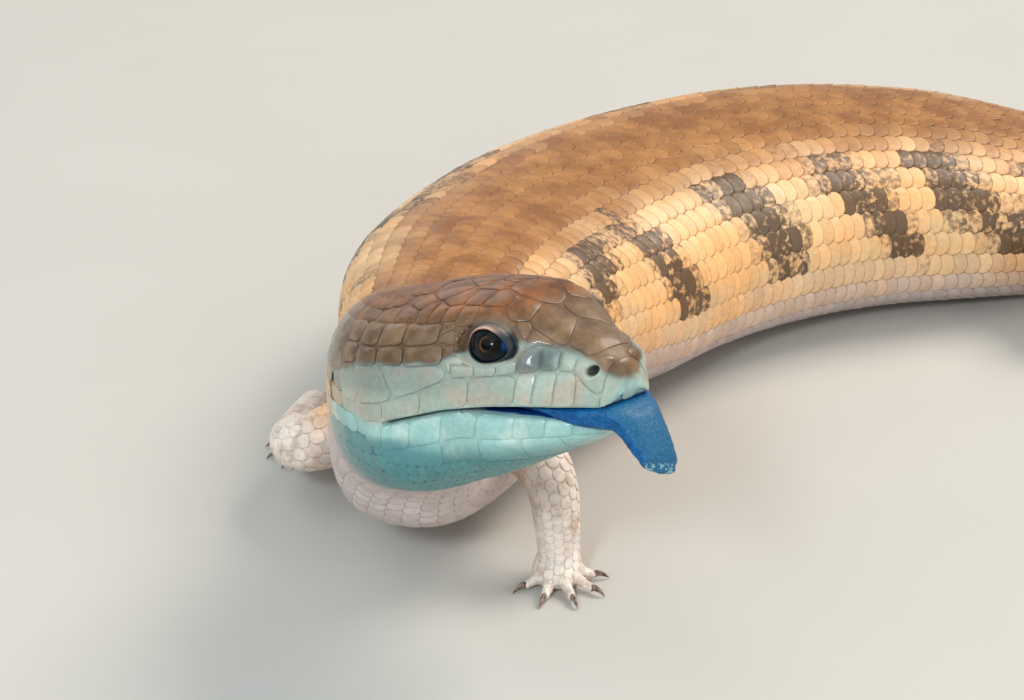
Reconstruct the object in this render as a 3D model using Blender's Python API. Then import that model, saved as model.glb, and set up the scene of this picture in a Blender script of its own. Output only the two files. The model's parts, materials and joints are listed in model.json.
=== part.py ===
"""Northern blue-tongued skink, adult, life size: a still model parted into its body regions.

The body is one loft along a curved spine, cut into named lengths by thin gaps. The lower jaw,
tongue, eyes, limbs, feet and claws are their own solids. +Z is up and the floor is z = 0. The
origin is on the flat under the middle of the belly. Sizes are millimetres until a mesh is made.
"""

import math

import bmesh
import bpy
import numpy as np
from mathutils import Matrix, Vector

MM = 0.001
GAP = 0.4                       # clear space between neighbouring pieces
FLAT = 1.3                      # how deep the floor presses the belly flat
FLAT_SHARE = 0.3                # and no more than this share of the depth of a thin tail
CREASE = 50.0                   # edges bent by more than this many degrees stay sharp

# Distances along the body, measured back from the tip of the snout.
MOUTH_CORNER = 44.0
HEAD_END = 67.0
NECK_END = 105.0
ORIGIN_STATION = 207.0          # this point of the spine stands over the origin
TRUNK_CUTS = (NECK_END, 165.0, 249.0, 353.0)
TAIL_CUTS = (353.0, 427.0, 499.0, 567.0)
BODY_LENGTH = 567.0

# Spine, as (distance, degrees). The heading points from head to tail, anticlockwise from +X.
HEADING = ((0, 134), (51, 134), (65, 106), (79, 86), (95, 78), (127, 77), (157, 69), (197, 48),
           (247, 27), (297, 5), (362, -7), (467, -3), (567, 26))
PITCH = ((0, 18), (53, 18), (69, 29), (83, 38), (99, 17), (117, 4), (127, 0), (567, 0))
HEAD_ROLL = 4.0                 # the right cheek is held this many degrees higher
NECK_ROLL_SPAN = (47.0, 107.0)  # the neck takes the roll out again over this length
WALK_STATION = 127.0            # behind this the trunk's underside follows the floor
CHEST_LIFT = ((0, 6.5), (127, 6.5), (187, 0), (567, 0))

# Girth, as (name, distance, half width, height above the axis, depth below it).
STATIONS = (
    ("snout", 0, 0.0, 4.3, -4.0),
    ("rostral", 1, 4.5, 7.4, -1.6),
    ("lip front", 3, 7.1, 9.8, 2.8),
    ("nostril", 6, 9.4, 12.0, 5.6),
    ("snout middle", 11, 12.3, 14.6, 8.4),
    ("eye front", 16, 14.9, 17.4, 10.2),
    ("eye", 21.5, 17.4, 19.9, 11.8),
    ("temple", 30, 20.4, 21.2, 14.4),
    ("cheek", 39, 22.6, 21.3, 17.0),
    ("jaw angle", 47, 23.5, 20.6, 19.0),
    ("ear", 61, 18.9, 19.2, 21.2),
    ("nape", 73, 17.2, 19.2, 23.4),
    ("neck", 87, 18.4, 20.4, 28.0),
    ("chest", 102, 22.0, 21.8, 27.4),
    ("shoulder", 122, 27.4, 23.6, 24.3),
    ("rib cage", 157, 37.0, 25.8, 22.9),
    ("belly front", 197, 42.0, 26.8, 23.3),
    ("belly", 247, 42.4, 26.4, 23.3),
    ("loin", 297, 39.5, 24.2, 21.8),
    ("hip", 332, 32.0, 20.4, 18.5),
    ("vent", 359, 23.6, 17.2, 16.0),
    ("tail root", 397, 18.2, 14.6, 13.8),
    ("tail middle", 452, 12.8, 10.6, 10.2),
    ("tail thin", 512, 7.4, 6.2, 6.0),
    ("tail end", 557, 2.6, 2.3, 2.3),
    ("tail tip", 567, 0.4, 0.4, 0.4),
)

# Swellings of the head, as (distance, height, length, tallness, outward swell).
BROW = (20.5, 17.5, 6.0, 3.2, 1.04)
LOREAL_HOLLOW = (11.5, 8.0, 4.0, 3.5, -0.9)
MUZZLE_SWELL = (4.5, 7.0, 2.6, 3.0, 0.5)
BROW_RISE = 0.62                # the brow rises by this share of its outward swell

# Mouth. Heights are over the plane that the mouth would close on.
GAPE_DEGREES = 6.0
GAPE_END = 38.0                 # the underside of the jaw drops in front of this
JAW_START = 2.7
CHIN_DROP = 1.3                 # the chin's tip below the closed mouth line
CHIN_TRIM = ((2, 0.9), (4, 1.3), (7, 2.0), (10, 2.2), (16, 1.8), (22, 1.2), (33, 0.15), (38, 0))
LIP_ARCH = ((0, -1.2), (1.5, -1.0), (4, -0.2), (9, 0.4), (16, 1.2), (22, 1.55), (28, 1.4),
            (36, 0.4), (44, -0.9))
MOUTH_GAP = ((2, 4.0), (3.5, 4.0), (6.5, 3.3), (8.5, 2.7), (12, 2.2), (16, 1.8), (20, 1.5),
             (24, 0.9), (28, 0.4), (44, 0.4))
JAW_SETBACK = 2.4               # the lower jaw is this much shorter than the upper one
JAW_INSET = 0.3                 # the upper lip overhangs the lower one by this much
JAW_ROOF_POWER = 5.0            # superellipse exponent of the flat roof of the lower jaw
JAW_ROOF_SHARE = 0.25           # how far down the jaw's side its widest line lies
LIP_LIFT = ((0, 4.3), (0.8, 1.6), (2, 0.4), (3.4, 0), (567, 0))

# Tongue, as (distance back from the snout's tip, height over the closed mouth line, half width).
TONGUE_ROUTE = ((14, -0.2, 6.0), (9, -1.1, 6.6), (5, -1.9, 6.8), (2, -2.5, 6.4), (-0.3, -3.6, 6.0),
                (-2.2, -6.0, 5.7), (-3.6, -9.0, 5.2), (-4.8, -12.2, 4.5), (-5.5, -14.4, 3.6))
TONGUE_THICKNESS = ((0, 1.3), (0.3, 2.4), (0.5, 3.0), (0.75, 3.0), (0.92, 2.3), (1.0, 1.5))
TONGUE_WRAP = 0.045             # the tongue's edges trail back round the chin
TONGUE_EDGE = 0.8               # under 1 fills out the corners of the tongue's section
TONGUE_PROBE = 0.05             # half length over which the tongue's direction is read

# Eyes, placed at the surface of the head.
EYE_STATION = 21.1
EYE_OUT = 14.7
EYE_HEIGHT = 12.2
EYE_RADIUS = 5.3
EYE_SINK = 4.5                  # centre of the ball below the surface
EYE_GAZE = (0.2, 0.95, 0.24)    # forward, outward, up
SOCKET_GAP = 0.4

EAR_STATION = 61.0
EAR_HEIGHT = 1.0
EAR_RADIUS = 3.4
EAR_PROUD = 1.2                 # centre of the ear's hollow, outside the cheek

# Limbs: joints as (forward, outward, height) from the spine over the root station.
FORE_ROOT = 109.0
HIND_ROOT = 342.0
FORE_RADII = (8.6, 7.2, 6.1, 5.2, 4.6)
HIND_RADII = (11.0, 9.4, 7.4, 5.8, 4.8)
LIMB_BEND = 0.5                 # the elbow's or knee's round takes this share of each length
LEFT_FORE = ((4, 8, 27), (23, 29, 26), (25, 31, 6.5))
RIGHT_FORE = ((3, 8, 24), (15, 32.5, 15.5), (-18, 34, 10.0))
LEFT_HIND = ((2, 12, 19), (12, 45, 20), (-8, 53, 9.0))
RIGHT_HIND = ((-2, 12, 19), (2, 44, 20), (-21, 49, 9.0))
DIGIT_COUNT = 5
LEFT_FORE_FAN = (47.0, 6.0, -32.0, -68.0, -106.0)
RIGHT_FORE_FAN = (4.0, -26.0, -54.0, -82.0, -112.0)
HIND_FAN = (50.0, 24.0, 2.0, -22.0, -58.0)
FORE_DIGITS = (3.4, 4.4, 4.8, 4.5, 3.6)
HIND_DIGITS = (3.8, 5.8, 7.6, 8.4, 4.8)
DIGIT_RADIUS = 1.75
DIGIT_TAPER = 0.28              # share of its radius that a digit loses by its tip
DIGIT_KNUCKLE = 1.35            # height of the knuckle, in digit radii
DIGIT_REST = 0.72               # height of the tip, in digit radii, pressing its pad flat
PALM_RADIUS = 5.4
PALM_HEIGHT = 3.4
PALM_AHEAD = 0.35               # palm's centre ahead of the wrist, in palm radii
SOLE_SHARE = 0.86               # radius of the sole's flat, in palm radii
CLAW_LENGTH = 2.7
CLAW_RADIUS = 0.8
CLAW_ARCH = 0.5
CLAW_TIP_HEIGHT = 0.25

# Mesh fineness.
BODY_SIDES = 20
HEAD_SIDES = 28
JAW_SIDES = 20
TONGUE_RINGS = 17
TONGUE_SIDES = 12
LIMB_SIDES = 10
DIGIT_SIDES = 6
CLAW_SIDES = 5
TRUNK_STEP = 9.0
NECK_STEP = 5.0
HEAD_STEP = 2.8
JAW_STEP = 3.0
SNOUT_STATIONS = (0.5, 1.2, 2.2, 3.6, 5.4, 7.6)
JAW_TIP_STEPS = (0.5, 1.3, 2.6, 4.4)
EVEN_FROM = 10.2                # even spacing of the head's sections starts here
FORE_CUT = (81.0, 147.0)        # stretches of the trunk that the legs are cut clear of
HIND_CUT = (297.0, 397.0)

UPPER_POWER = 2.3               # superellipse exponents of the body's sections
LOWER_POWER = 2.6


def profile(points, where):
    """Monotone cubic through (distance, value) points, so that no bulge is added between them."""
    x = np.array([point[0] for point in points], float)
    y = np.array([point[1] for point in points], float)
    step = np.diff(x)
    slope = np.diff(y) / step
    tangent = np.zeros(len(x))
    tangent[0] = slope[0]
    tangent[-1] = slope[-1]
    for i in range(1, len(x) - 1):
        if slope[i - 1] * slope[i] > 0:
            before = 2 * step[i] + step[i - 1]
            after = step[i] + 2 * step[i - 1]
            tangent[i] = (before + after) / (before / slope[i - 1] + after / slope[i])
    s = np.clip(np.asarray(where, float), x[0], x[-1])
    i = np.clip(np.searchsorted(x, s) - 1, 0, len(step) - 1)
    t = (s - x[i]) / step[i]
    rise = t * t * (3 - 2 * t)
    return (y[i] + rise * (y[i + 1] - y[i])
            + step[i] * (tangent[i] * t * (1 - t) ** 2 - tangent[i + 1] * t * t * (1 - t)))


def station_profile(column):
    """The (distance, value) points of one column of the girth stations."""
    return tuple((row[1], row[column]) for row in STATIONS)


HALF_WIDTH = station_profile(2)
HEIGHT = station_profile(3)
DEPTH = station_profile(4)


class Spine:
    """The body's curved axis, with forward, left and up directions at every point."""

    STEP = 0.5

    def __init__(self):
        s = np.arange(0.0, BODY_LENGTH + self.STEP, self.STEP)
        heading = np.radians(profile(HEADING, s))
        pitch = np.radians(profile(PITCH, s))
        back = np.stack([np.cos(heading) * np.cos(pitch), np.sin(heading) * np.cos(pitch),
                         -np.sin(pitch)], 1)
        middle = (back[1:] + back[:-1]) / 2
        place = np.vstack([np.zeros(3), np.cumsum(middle, 0) * self.STEP])
        place[:, :2] -= place[int(ORIGIN_STATION / self.STEP), :2]
        depth = profile(DEPTH, s)
        floor = depth + profile(CHEST_LIFT, s) - np.minimum(FLAT, FLAT_SHARE * depth)
        walk = int(WALK_STATION / self.STEP)
        place[:walk, 2] += floor[walk] - place[walk, 2]
        place[walk:, 2] = floor[walk:]
        forward = -back
        left = np.cross([0, 0, 1.0], forward)
        left /= np.linalg.norm(left, axis=1)[:, None]
        up = np.cross(forward, left)
        roll = -np.radians(np.interp(s, NECK_ROLL_SPAN, (HEAD_ROLL, 0.0)))[:, None]
        self.s = s
        self.place = place
        self.forward = forward
        self.left = left * np.cos(roll) + up * np.sin(roll)
        self.up = up * np.cos(roll) - left * np.sin(roll)

    def read(self, table, s):
        """One of the spine's tables at distance s."""
        return np.array([np.interp(s, self.s, table[:, k]) for k in range(3)])

    def axes(self, s):
        """Origin, forward, left and up at distance s."""
        return tuple(self.read(t, s) for t in (self.place, self.forward, self.left, self.up))

    def point(self, s, left, up):
        """A point beside the axis, off the section at distance s."""
        origin, _, side, top = self.axes(s)
        return origin + left * side + up * top

    def head_point(self, s, left, up):
        """A point in the head's own straight frame, also ahead of the snout."""
        origin, forward, side, top = self.axes(0.0)
        return origin - s * forward + left * side + up * top


SPINE = Spine()


def gape(s):
    """How far the underside of the open jaw hangs below its closed place."""
    return math.tan(math.radians(GAPE_DEGREES)) * max(0.0, GAPE_END - s)


def lip_line(s):
    """Height of the upper lip over the plane that the mouth would close on."""
    return float(profile(LIP_LIFT, s) + profile(LIP_ARCH, s))


def section(s, sides, grow=0.0):
    """(left, up) points of the closed body's outline at distance s."""
    width = float(profile(HALF_WIDTH, s)) + grow
    height = float(profile(HEIGHT, s)) + grow
    depth = float(profile(DEPTH, s)) + grow
    points = []
    for k in range(sides):
        turn = 2 * math.pi * k / sides
        c, n = math.cos(turn), math.sin(turn)
        power = 2 / (UPPER_POWER if n >= 0 else LOWER_POWER)
        left = math.copysign(abs(c) ** power, c) * width
        reach = height if n >= 0 else depth
        points.append((left, math.copysign(abs(n) ** power, n) * reach))
    return points


def swelling(spec, s, up):
    """Height of one smooth bump of the head's side at a distance and height."""
    middle, height, length, tallness, swell = spec
    return swell * math.exp(-((s - middle) / length) ** 2 - ((up - height) / tallness) ** 2)


def head_relief(s, left, up):
    """Swell the brow and muzzle and hollow the cheek between them, in the head's frame."""
    side = math.copysign(1.0, left) if left else 0.0
    brow = swelling(BROW, s, up)
    out = brow + swelling(LOREAL_HOLLOW, s, up) + swelling(MUZZLE_SWELL, s, up)
    return left + side * out, up + brow * BROW_RISE * abs(side)


def head_ring(s, floor_up=None, grow=0.0):
    """World points of a head section, its underside held at floor_up where one is given."""
    ring = []
    for left, up in section(s, HEAD_SIDES, grow):
        if floor_up is not None:
            up = max(up, floor_up - grow)
        ring.append(SPINE.point(s, *head_relief(s, left, up)))
    return ring


def body_ring(s, sides, grow=0.0):
    """World points of a neck, trunk or tail section, pressed flat by the floor."""
    ring = [SPINE.point(s, left, up) for left, up in section(s, sides, grow)]
    return [press(point, grow) for point in ring]


def press(point, grow=0.0):
    """Hold a point at or above the floor."""
    return np.array([point[0], point[1], max(point[2], -grow)])


def spread(start, end, step):
    """Evenly spaced distances from start to end, about step apart."""
    count = max(1, round((end - start) / step))
    return [start + (end - start) * k / count for k in range(count + 1)]


def finish(name, mesh_data, material):
    """Turn a bmesh in millimetres into a named object in metres."""
    bmesh.ops.scale(mesh_data, vec=(MM, MM, MM), verts=mesh_data.verts)
    bmesh.ops.recalc_face_normals(mesh_data, faces=mesh_data.faces)
    mesh = bpy.data.meshes.new(name)
    mesh_data.to_mesh(mesh)
    mesh_data.free()
    mesh.shade_smooth()
    mesh.set_sharp_from_angle(angle=math.radians(CREASE))
    obj = bpy.data.objects.new(name, mesh)
    obj.data.materials.append(material)
    bpy.context.scene.collection.objects.link(obj)
    return obj


def loft(name, rings, material, start_tip=None, end_tip=None):
    """Closed skin over equal rings of points, each end a flat cap or a single tip point."""
    data = bmesh.new()
    rows = [[data.verts.new(tuple(point)) for point in ring] for ring in rings]
    count = len(rows[0])
    for near, far in zip(rows, rows[1:]):
        for k in range(count):
            after = (k + 1) % count
            data.faces.new((near[k], near[after], far[after], far[k]))
    for row, tip in ((rows[0], start_tip), (rows[-1], end_tip)):
        if tip is None:
            data.faces.new(row)
            continue
        apex = data.verts.new(tuple(tip))
        for k in range(count):
            data.faces.new((row[k], row[(k + 1) % count], apex))
    bmesh.ops.remove_doubles(data, verts=data.verts, dist=0.001)
    bmesh.ops.triangulate(data, faces=data.faces)
    return finish(name, data, material)


def ball(name, centre, radius, material, rings=8, sides=12, axis=(0, 0, 1)):
    """A sphere with its poles along axis."""
    data = bmesh.new()
    bmesh.ops.create_uvsphere(data, u_segments=sides, v_segments=rings, radius=radius)
    turn = Vector((0, 0, 1)).rotation_difference(Vector(axis)).to_matrix().to_4x4()
    bmesh.ops.transform(data, matrix=Matrix.Translation(Vector(centre)) @ turn, verts=data.verts)
    return finish(name, data, material)


def combine(target, tool, operation):
    """Apply an exact Boolean of tool on target, and remove the tool."""
    modifier = target.modifiers.new(operation.lower(), "BOOLEAN")
    modifier.operation = operation
    modifier.solver = "EXACT"
    modifier.object = tool
    bpy.context.view_layer.update()
    graph = bpy.context.evaluated_depsgraph_get()
    mesh = bpy.data.meshes.new_from_object(target.evaluated_get(graph))
    target.modifiers.remove(modifier)
    old = target.data
    target.data = mesh
    bpy.data.meshes.remove(old)
    bpy.data.objects.remove(tool)


def make_material(name, colour, roughness):
    """A plain Principled finish."""
    material = bpy.data.materials.new(name)
    material.use_nodes = True
    shader = material.node_tree.nodes["Principled BSDF"]
    shader.inputs["Base Color"].default_value = (*colour, 1.0)
    shader.inputs["Roughness"].default_value = roughness
    shader.inputs["Metallic"].default_value = 0.0
    return material


# The head.

def upper_head_rings(grow=0.0):
    """Sections from the rostral scale to the back of the head, open above the lower jaw."""
    stations = list(SNOUT_STATIONS) + spread(EVEN_FROM, MOUTH_CORNER - GAP / 2, HEAD_STEP)
    rings = [head_ring(s, lip_line(s), grow) for s in stations]
    closed = spread(MOUTH_CORNER, HEAD_END - GAP / 2, HEAD_STEP)
    return rings + [head_ring(s, None, grow) for s in closed]


def build_head(material):
    """Cranium and upper jaw, with the eye sockets and ear openings cut in."""
    tip = SPINE.point(0.0, 0.0, float(profile(HEIGHT, 0.0)))
    head = loft("head", upper_head_rings(), material, start_tip=tip)
    for side in (1, -1):
        centre, gaze = eye_place(side)
        socket = ball("socket", centre, EYE_RADIUS + SOCKET_GAP, material, 8, 14, gaze)
        combine(head, socket, "DIFFERENCE")
        ear_out = float(profile(HALF_WIDTH, EAR_STATION)) + EAR_PROUD
        ear = SPINE.point(EAR_STATION, side * ear_out, EAR_HEIGHT)
        drum = ball("drum", ear, EAR_RADIUS, material, 5, 8, SPINE.axes(EAR_STATION)[2])
        combine(head, drum, "DIFFERENCE")
    return head


def jaw_ring(s, grow=0.0):
    """World points of the lower jaw: the closed outline below the mouth, dropped by the gape."""
    setback = JAW_SETBACK * (MOUTH_CORNER - s) / MOUTH_CORNER
    width = float(profile(HALF_WIDTH, s - setback)) - JAW_INSET + grow
    roof = float(profile(LIP_ARCH, s) - profile(MOUTH_GAP, s))
    keel = float(profile(CHIN_TRIM, s) - profile(DEPTH, s)) - gape(s)
    widest = min(roof - 2 * JAW_INSET, roof + JAW_ROOF_SHARE * (keel - roof))
    ring = []
    for k in range(JAW_SIDES):
        turn = 2 * math.pi * k / JAW_SIDES
        c, n = math.cos(turn), math.sin(turn)
        power = 2 / (JAW_ROOF_POWER if n >= 0 else LOWER_POWER)
        left = math.copysign(abs(c) ** power, c) * width
        reach = roof - widest if n >= 0 else widest - keel
        up = widest + math.copysign(abs(n) ** power, n) * (reach + grow)
        ring.append(SPINE.point(s, left, up))
    return ring


def jaw_tip(grow=0.0):
    """Foremost point of the chin."""
    return SPINE.point(JAW_START - grow, 0.0, -gape(JAW_START) - CHIN_DROP)


def jaw_stations():
    """Distances of the lower jaw's sections."""
    tip = [JAW_START + step for step in JAW_TIP_STEPS]
    return tip + spread(EVEN_FROM, MOUTH_CORNER - 1.5 * GAP, JAW_STEP)


def build_jaw(material):
    """The lower jaw from the chin to the corner of the mouth."""
    return loft("lower_jaw", [jaw_ring(s) for s in jaw_stations()], material, start_tip=jaw_tip())


def tongue_line(at):
    """Distance, height and half width of the tongue, at counting the rows of its route."""
    return tuple(float(profile([(i, row[k]) for i, row in enumerate(TONGUE_ROUTE)], at))
                 for k in range(3))


def tongue_rings(count, sides):
    """Flat oval sections along the tongue, whose edges trail back where it hangs."""
    last = len(TONGUE_ROUTE) - 1
    rings = []
    for t in np.linspace(0.0, 1.0, count):
        s, up, half = tongue_line(t * last)
        s_after, up_after, _ = tongue_line(min(t * last + TONGUE_PROBE, last))
        s_before, up_before, _ = tongue_line(max(t * last - TONGUE_PROBE, 0))
        run = math.hypot(s_after - s_before, up_after - up_before)
        along = ((s_after - s_before) / run, (up_after - up_before) / run)
        thick = float(profile(TONGUE_THICKNESS, t)) / 2
        ring = []
        for k in range(sides):
            turn = 2 * math.pi * k / sides
            left = math.copysign(abs(math.cos(turn)) ** TONGUE_EDGE, math.cos(turn)) * half
            lift = math.sin(turn) * thick
            trail = TONGUE_WRAP * left * left * abs(along[1])
            ring.append(SPINE.head_point(s + along[1] * lift + trail, left, up - along[0] * lift))
        rings.append(ring)
    return rings


def build_tongue(material, jaw_material):
    """The tongue, out over the lower lip, kept clear of both jaws."""
    tongue = loft("tongue", tongue_rings(TONGUE_RINGS, TONGUE_SIDES), material)
    rings = [jaw_ring(s, GAP) for s in jaw_stations()[:-3]]
    cutter = loft("cutter", rings, jaw_material, start_tip=jaw_tip(GAP))
    combine(tongue, cutter, "DIFFERENCE")
    return tongue


def eye_place(side):
    """Centre of an eyeball and the direction it looks in."""
    surface = SPINE.point(EYE_STATION, side * EYE_OUT, EYE_HEIGHT)
    _, forward, left, up = SPINE.axes(EYE_STATION)
    gaze = EYE_GAZE[0] * forward + side * EYE_GAZE[1] * left + EYE_GAZE[2] * up
    gaze = gaze / np.linalg.norm(gaze)
    return surface - gaze * EYE_SINK, gaze


# The limbs.

class Limb:
    """One leg: a bent tube from inside the trunk to the wrist, and a foot on the floor."""

    def __init__(self, name, root, side, joints, radii, fan, digits):
        self.name = name
        self.side = side
        self.radii = radii
        self.fan = fan
        self.digits = digits
        origin, forward, _, _ = SPINE.axes(root)
        forward = np.array([forward[0], forward[1], 0.0])
        self.forward = forward / np.linalg.norm(forward)
        self.outward = side * np.cross([0, 0, 1.0], self.forward)
        self.origin = np.array([origin[0], origin[1], 0.0])
        self.joints = [self.world(*joint) for joint in joints]

    def world(self, ahead, out, height):
        """A point given ahead of, outward from and above the root's place on the floor."""
        return self.origin + ahead * self.forward + out * self.outward + np.array([0, 0, height])

    def path(self, t):
        """Point of the limb's rounded centre line, t from 0 at the root to 2 at the wrist."""
        root, knee, wrist = self.joints
        bend = LIMB_BEND
        if t < 1 - bend:
            return root + (knee - root) * t
        if t > 1 + bend:
            return knee + (wrist - knee) * (t - 1)
        start = root + (knee - root) * (1 - bend)
        end = knee + (wrist - knee) * bend
        u = (t - 1 + bend) / (2 * bend)
        return (1 - u) ** 2 * start + 2 * u * (1 - u) * knee + u * u * end

    def radius(self, t):
        """Radius along the limb, full at the muscles and slim at the joints."""
        return float(profile([(i * 0.5, r) for i, r in enumerate(self.radii)], t))

    def square_axes(self, t):
        """Directions across and over the limb, square to its path at t."""
        ahead = self.path(min(t + 0.02, 2.0)) - self.path(max(t - 0.02, 0.0))
        ahead /= np.linalg.norm(ahead)
        across = np.cross(ahead, self.forward + np.array([0, 0, 0.3]))
        across /= np.linalg.norm(across)
        return across, np.cross(across, ahead)

    def ring(self, t, sides):
        """World points of the limb's section at t."""
        across, over = self.square_axes(t)
        return self.round_ring(self.path(t), across, over, self.radius(t), sides)

    @staticmethod
    def round_ring(middle, across, over, radius, sides):
        """World points of a round section, held above the floor."""
        ring = []
        for k in range(sides):
            turn = 2 * math.pi * k / sides
            ring.append(press(middle + radius * (math.cos(turn) * across
                                                 + math.sin(turn) * over)))
        return ring

    def build_tube(self, label, start, end, material, steps):
        """One length of the limb between two values of t."""
        rings = [self.ring(t, LIMB_SIDES) for t in spread(start, end, (end - start) / steps)]
        return loft(f"{self.name}_{label}", rings, material)

    def digit_points(self, index):
        """Root, knuckle and tip of a digit's centre line, and its outward direction."""
        turn = math.radians(self.fan[index])
        aim = math.cos(turn) * self.forward - math.sin(turn) * self.outward
        root = self.palm_centre() + aim * PALM_RADIUS * PALM_AHEAD
        root[2] = PALM_HEIGHT * 0.8
        reach = PALM_RADIUS * 0.7 + self.digits[index]
        tip = self.palm_centre() + aim * reach
        knuckle = root * 0.45 + tip * 0.55
        knuckle[2] = DIGIT_RADIUS * DIGIT_KNUCKLE
        tip[2] = DIGIT_RADIUS * DIGIT_REST
        return root, knuckle, tip, aim

    def palm_centre(self):
        """Middle of the sole, a little ahead of the wrist."""
        wrist = self.joints[2]
        return np.array([wrist[0], wrist[1], 0.0]) + self.forward * PALM_RADIUS * PALM_AHEAD

    def build_foot(self, material):
        """Sole and digits in one piece."""
        across, _ = self.square_axes(2.0)
        across = np.array([across[0], across[1], 0.0])
        across /= np.linalg.norm(across)
        over = np.cross(across, [0, 0, -1.0])
        palm = self.palm_centre()
        wrist = self.ring(2.0, LIMB_SIDES)
        top = self.round_ring(palm + np.array([0, 0, PALM_HEIGHT]), across, over,
                              PALM_RADIUS, LIMB_SIDES)
        sole = self.round_ring(palm, across, over, PALM_RADIUS * SOLE_SHARE, LIMB_SIDES)
        ankle = [0.5 * (high + low) for high, low in zip(wrist, top)]
        foot = loft(f"{self.name}_foot", (wrist, ankle, top, sole), material)
        for index in range(DIGIT_COUNT):
            combine(foot, self.build_digit(index, material), "UNION")
        return foot

    def build_digit(self, index, material):
        """One toe, a bent taper with a rounded end, flat where it meets the floor."""
        root, knuckle, tip, aim = self.digit_points(index)
        across = np.cross(aim, [0, 0, 1.0])
        rings = []
        for share in (0.0, 0.3, 0.6, 0.85, 1.0):
            middle = (1 - share) ** 2 * root + 2 * share * (1 - share) * knuckle + share ** 2 * tip
            size = DIGIT_RADIUS * (1.0 - DIGIT_TAPER * share)
            rings.append(self.digit_ring(middle, across, size))
        end = tip + aim * DIGIT_RADIUS * 0.35
        rings.append(self.digit_ring(end, across, DIGIT_RADIUS * 0.45))
        return loft("digit", rings, material)

    @staticmethod
    def digit_ring(middle, across, size):
        """Upright section of a toe."""
        ring = []
        for k in range(DIGIT_SIDES):
            turn = 2 * math.pi * (k + 0.5) / DIGIT_SIDES
            ring.append(press(middle + size * (math.cos(turn) * across
                                               + math.sin(turn) * np.array([0, 0, 1.0]))))
        return ring

    def build_claw(self, index, material):
        """A short curved claw ahead of its toe, with its tip on the floor."""
        _, _, tip, aim = self.digit_points(index)
        across = np.cross(aim, [0, 0, 1.0])
        start = tip + aim * (DIGIT_RADIUS * 0.35 + GAP)
        rings = []
        for share in (0.0, 0.4, 0.75):
            middle = start + aim * CLAW_LENGTH * share
            middle[2] = tip[2] + CLAW_ARCH * (math.sin(math.pi * share) - share)
            size = CLAW_RADIUS * (1 - 0.75 * share)
            rings.append(self.claw_ring(middle, across, size))
        end = start + aim * CLAW_LENGTH
        end[2] = CLAW_TIP_HEIGHT
        return loft(f"{self.name}_claw_{index + 1}", rings, material, end_tip=end)

    @staticmethod
    def claw_ring(middle, across, size):
        """Upright oval section of a claw."""
        ring = []
        for k in range(CLAW_SIDES):
            turn = 2 * math.pi * (k + 0.25) / CLAW_SIDES
            ring.append(middle + size * (0.8 * math.cos(turn) * across
                                         + math.sin(turn) * np.array([0, 0, 1.0])))
        return ring


def build_limb(limb, cut, skin, claw):
    """The whole leg: upper length cut clear of the trunk, lower length, foot and claws."""
    half = GAP / 2 / np.linalg.norm(limb.joints[1] - limb.joints[0])
    upper = limb.build_tube("upper", 0.0, 1.0 - half, skin, 6)
    combine(upper, trunk_cutter(cut, skin), "DIFFERENCE")
    wrist_gap = GAP / np.linalg.norm(limb.joints[2] - limb.joints[1])
    limb.build_tube("lower", 1.0 + half, 2.0 - wrist_gap, skin, 5)
    limb.build_foot(skin)
    for index in range(DIGIT_COUNT):
        limb.build_claw(index, claw)


def trunk_cutter(stretch, material):
    """A stretch of the trunk grown by one gap, as a cutter for the limbs."""
    rings = [body_ring(s, BODY_SIDES, GAP) for s in spread(*stretch, TRUNK_STEP)]
    return loft("trunk_cutter", rings, material)


def build_lengths(names, cuts, step, material):
    """Lengths of the body between the cuts, one gap apart."""
    for name, start, end in zip(names, cuts, cuts[1:]):
        last = end >= BODY_LENGTH
        stop = end - 1.0 if last else end - GAP / 2
        rings = [body_ring(s, BODY_SIDES, 0.0) for s in spread(start + GAP / 2, stop, step)]
        tip = press(SPINE.point(BODY_LENGTH, 0.0, 0.0)) + np.array([0, 0, 0.2])
        loft(name, rings, material, end_tip=tip if last else None)


def main():
    """Build every piece of the animal."""
    for obj in list(bpy.data.objects):
        bpy.data.objects.remove(obj)
    back = make_material("back_skin", (0.55, 0.36, 0.19), 0.5)
    head_skin = make_material("head_skin", (0.42, 0.38, 0.32), 0.42)
    limb_skin = make_material("limb_skin", (0.72, 0.58, 0.48), 0.5)
    tongue = make_material("tongue", (0.02, 0.13, 0.42), 0.3)
    eye = make_material("eye", (0.03, 0.02, 0.015), 0.08)
    claw = make_material("claw", (0.32, 0.26, 0.2), 0.4)

    build_head(head_skin)
    build_jaw(head_skin)
    build_tongue(tongue, head_skin)
    for name, side in (("eye_left", 1), ("eye_right", -1)):
        centre, gaze = eye_place(side)
        ball(name, centre, EYE_RADIUS, eye, 8, 14, gaze)

    build_lengths(("neck",), (HEAD_END, NECK_END), NECK_STEP, back)
    build_lengths(("trunk_front", "trunk_middle", "trunk_rear"), TRUNK_CUTS, TRUNK_STEP, back)
    build_lengths(("tail_base", "tail_middle", "tail_end"), TAIL_CUTS, TRUNK_STEP, back)

    for name, side, joints, fan in (("left_fore", 1, LEFT_FORE, LEFT_FORE_FAN),
                                    ("right_fore", -1, RIGHT_FORE, RIGHT_FORE_FAN)):
        limb = Limb(name, FORE_ROOT, side, joints, FORE_RADII, fan, FORE_DIGITS)
        build_limb(limb, FORE_CUT, limb_skin, claw)
    for name, side, joints in (("left_hind", 1, LEFT_HIND), ("right_hind", -1, RIGHT_HIND)):
        limb = Limb(name, HIND_ROOT, side, joints, HIND_RADII, HIND_FAN, HIND_DIGITS)
        build_limb(limb, HIND_CUT, limb_skin, claw)


main()
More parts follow.
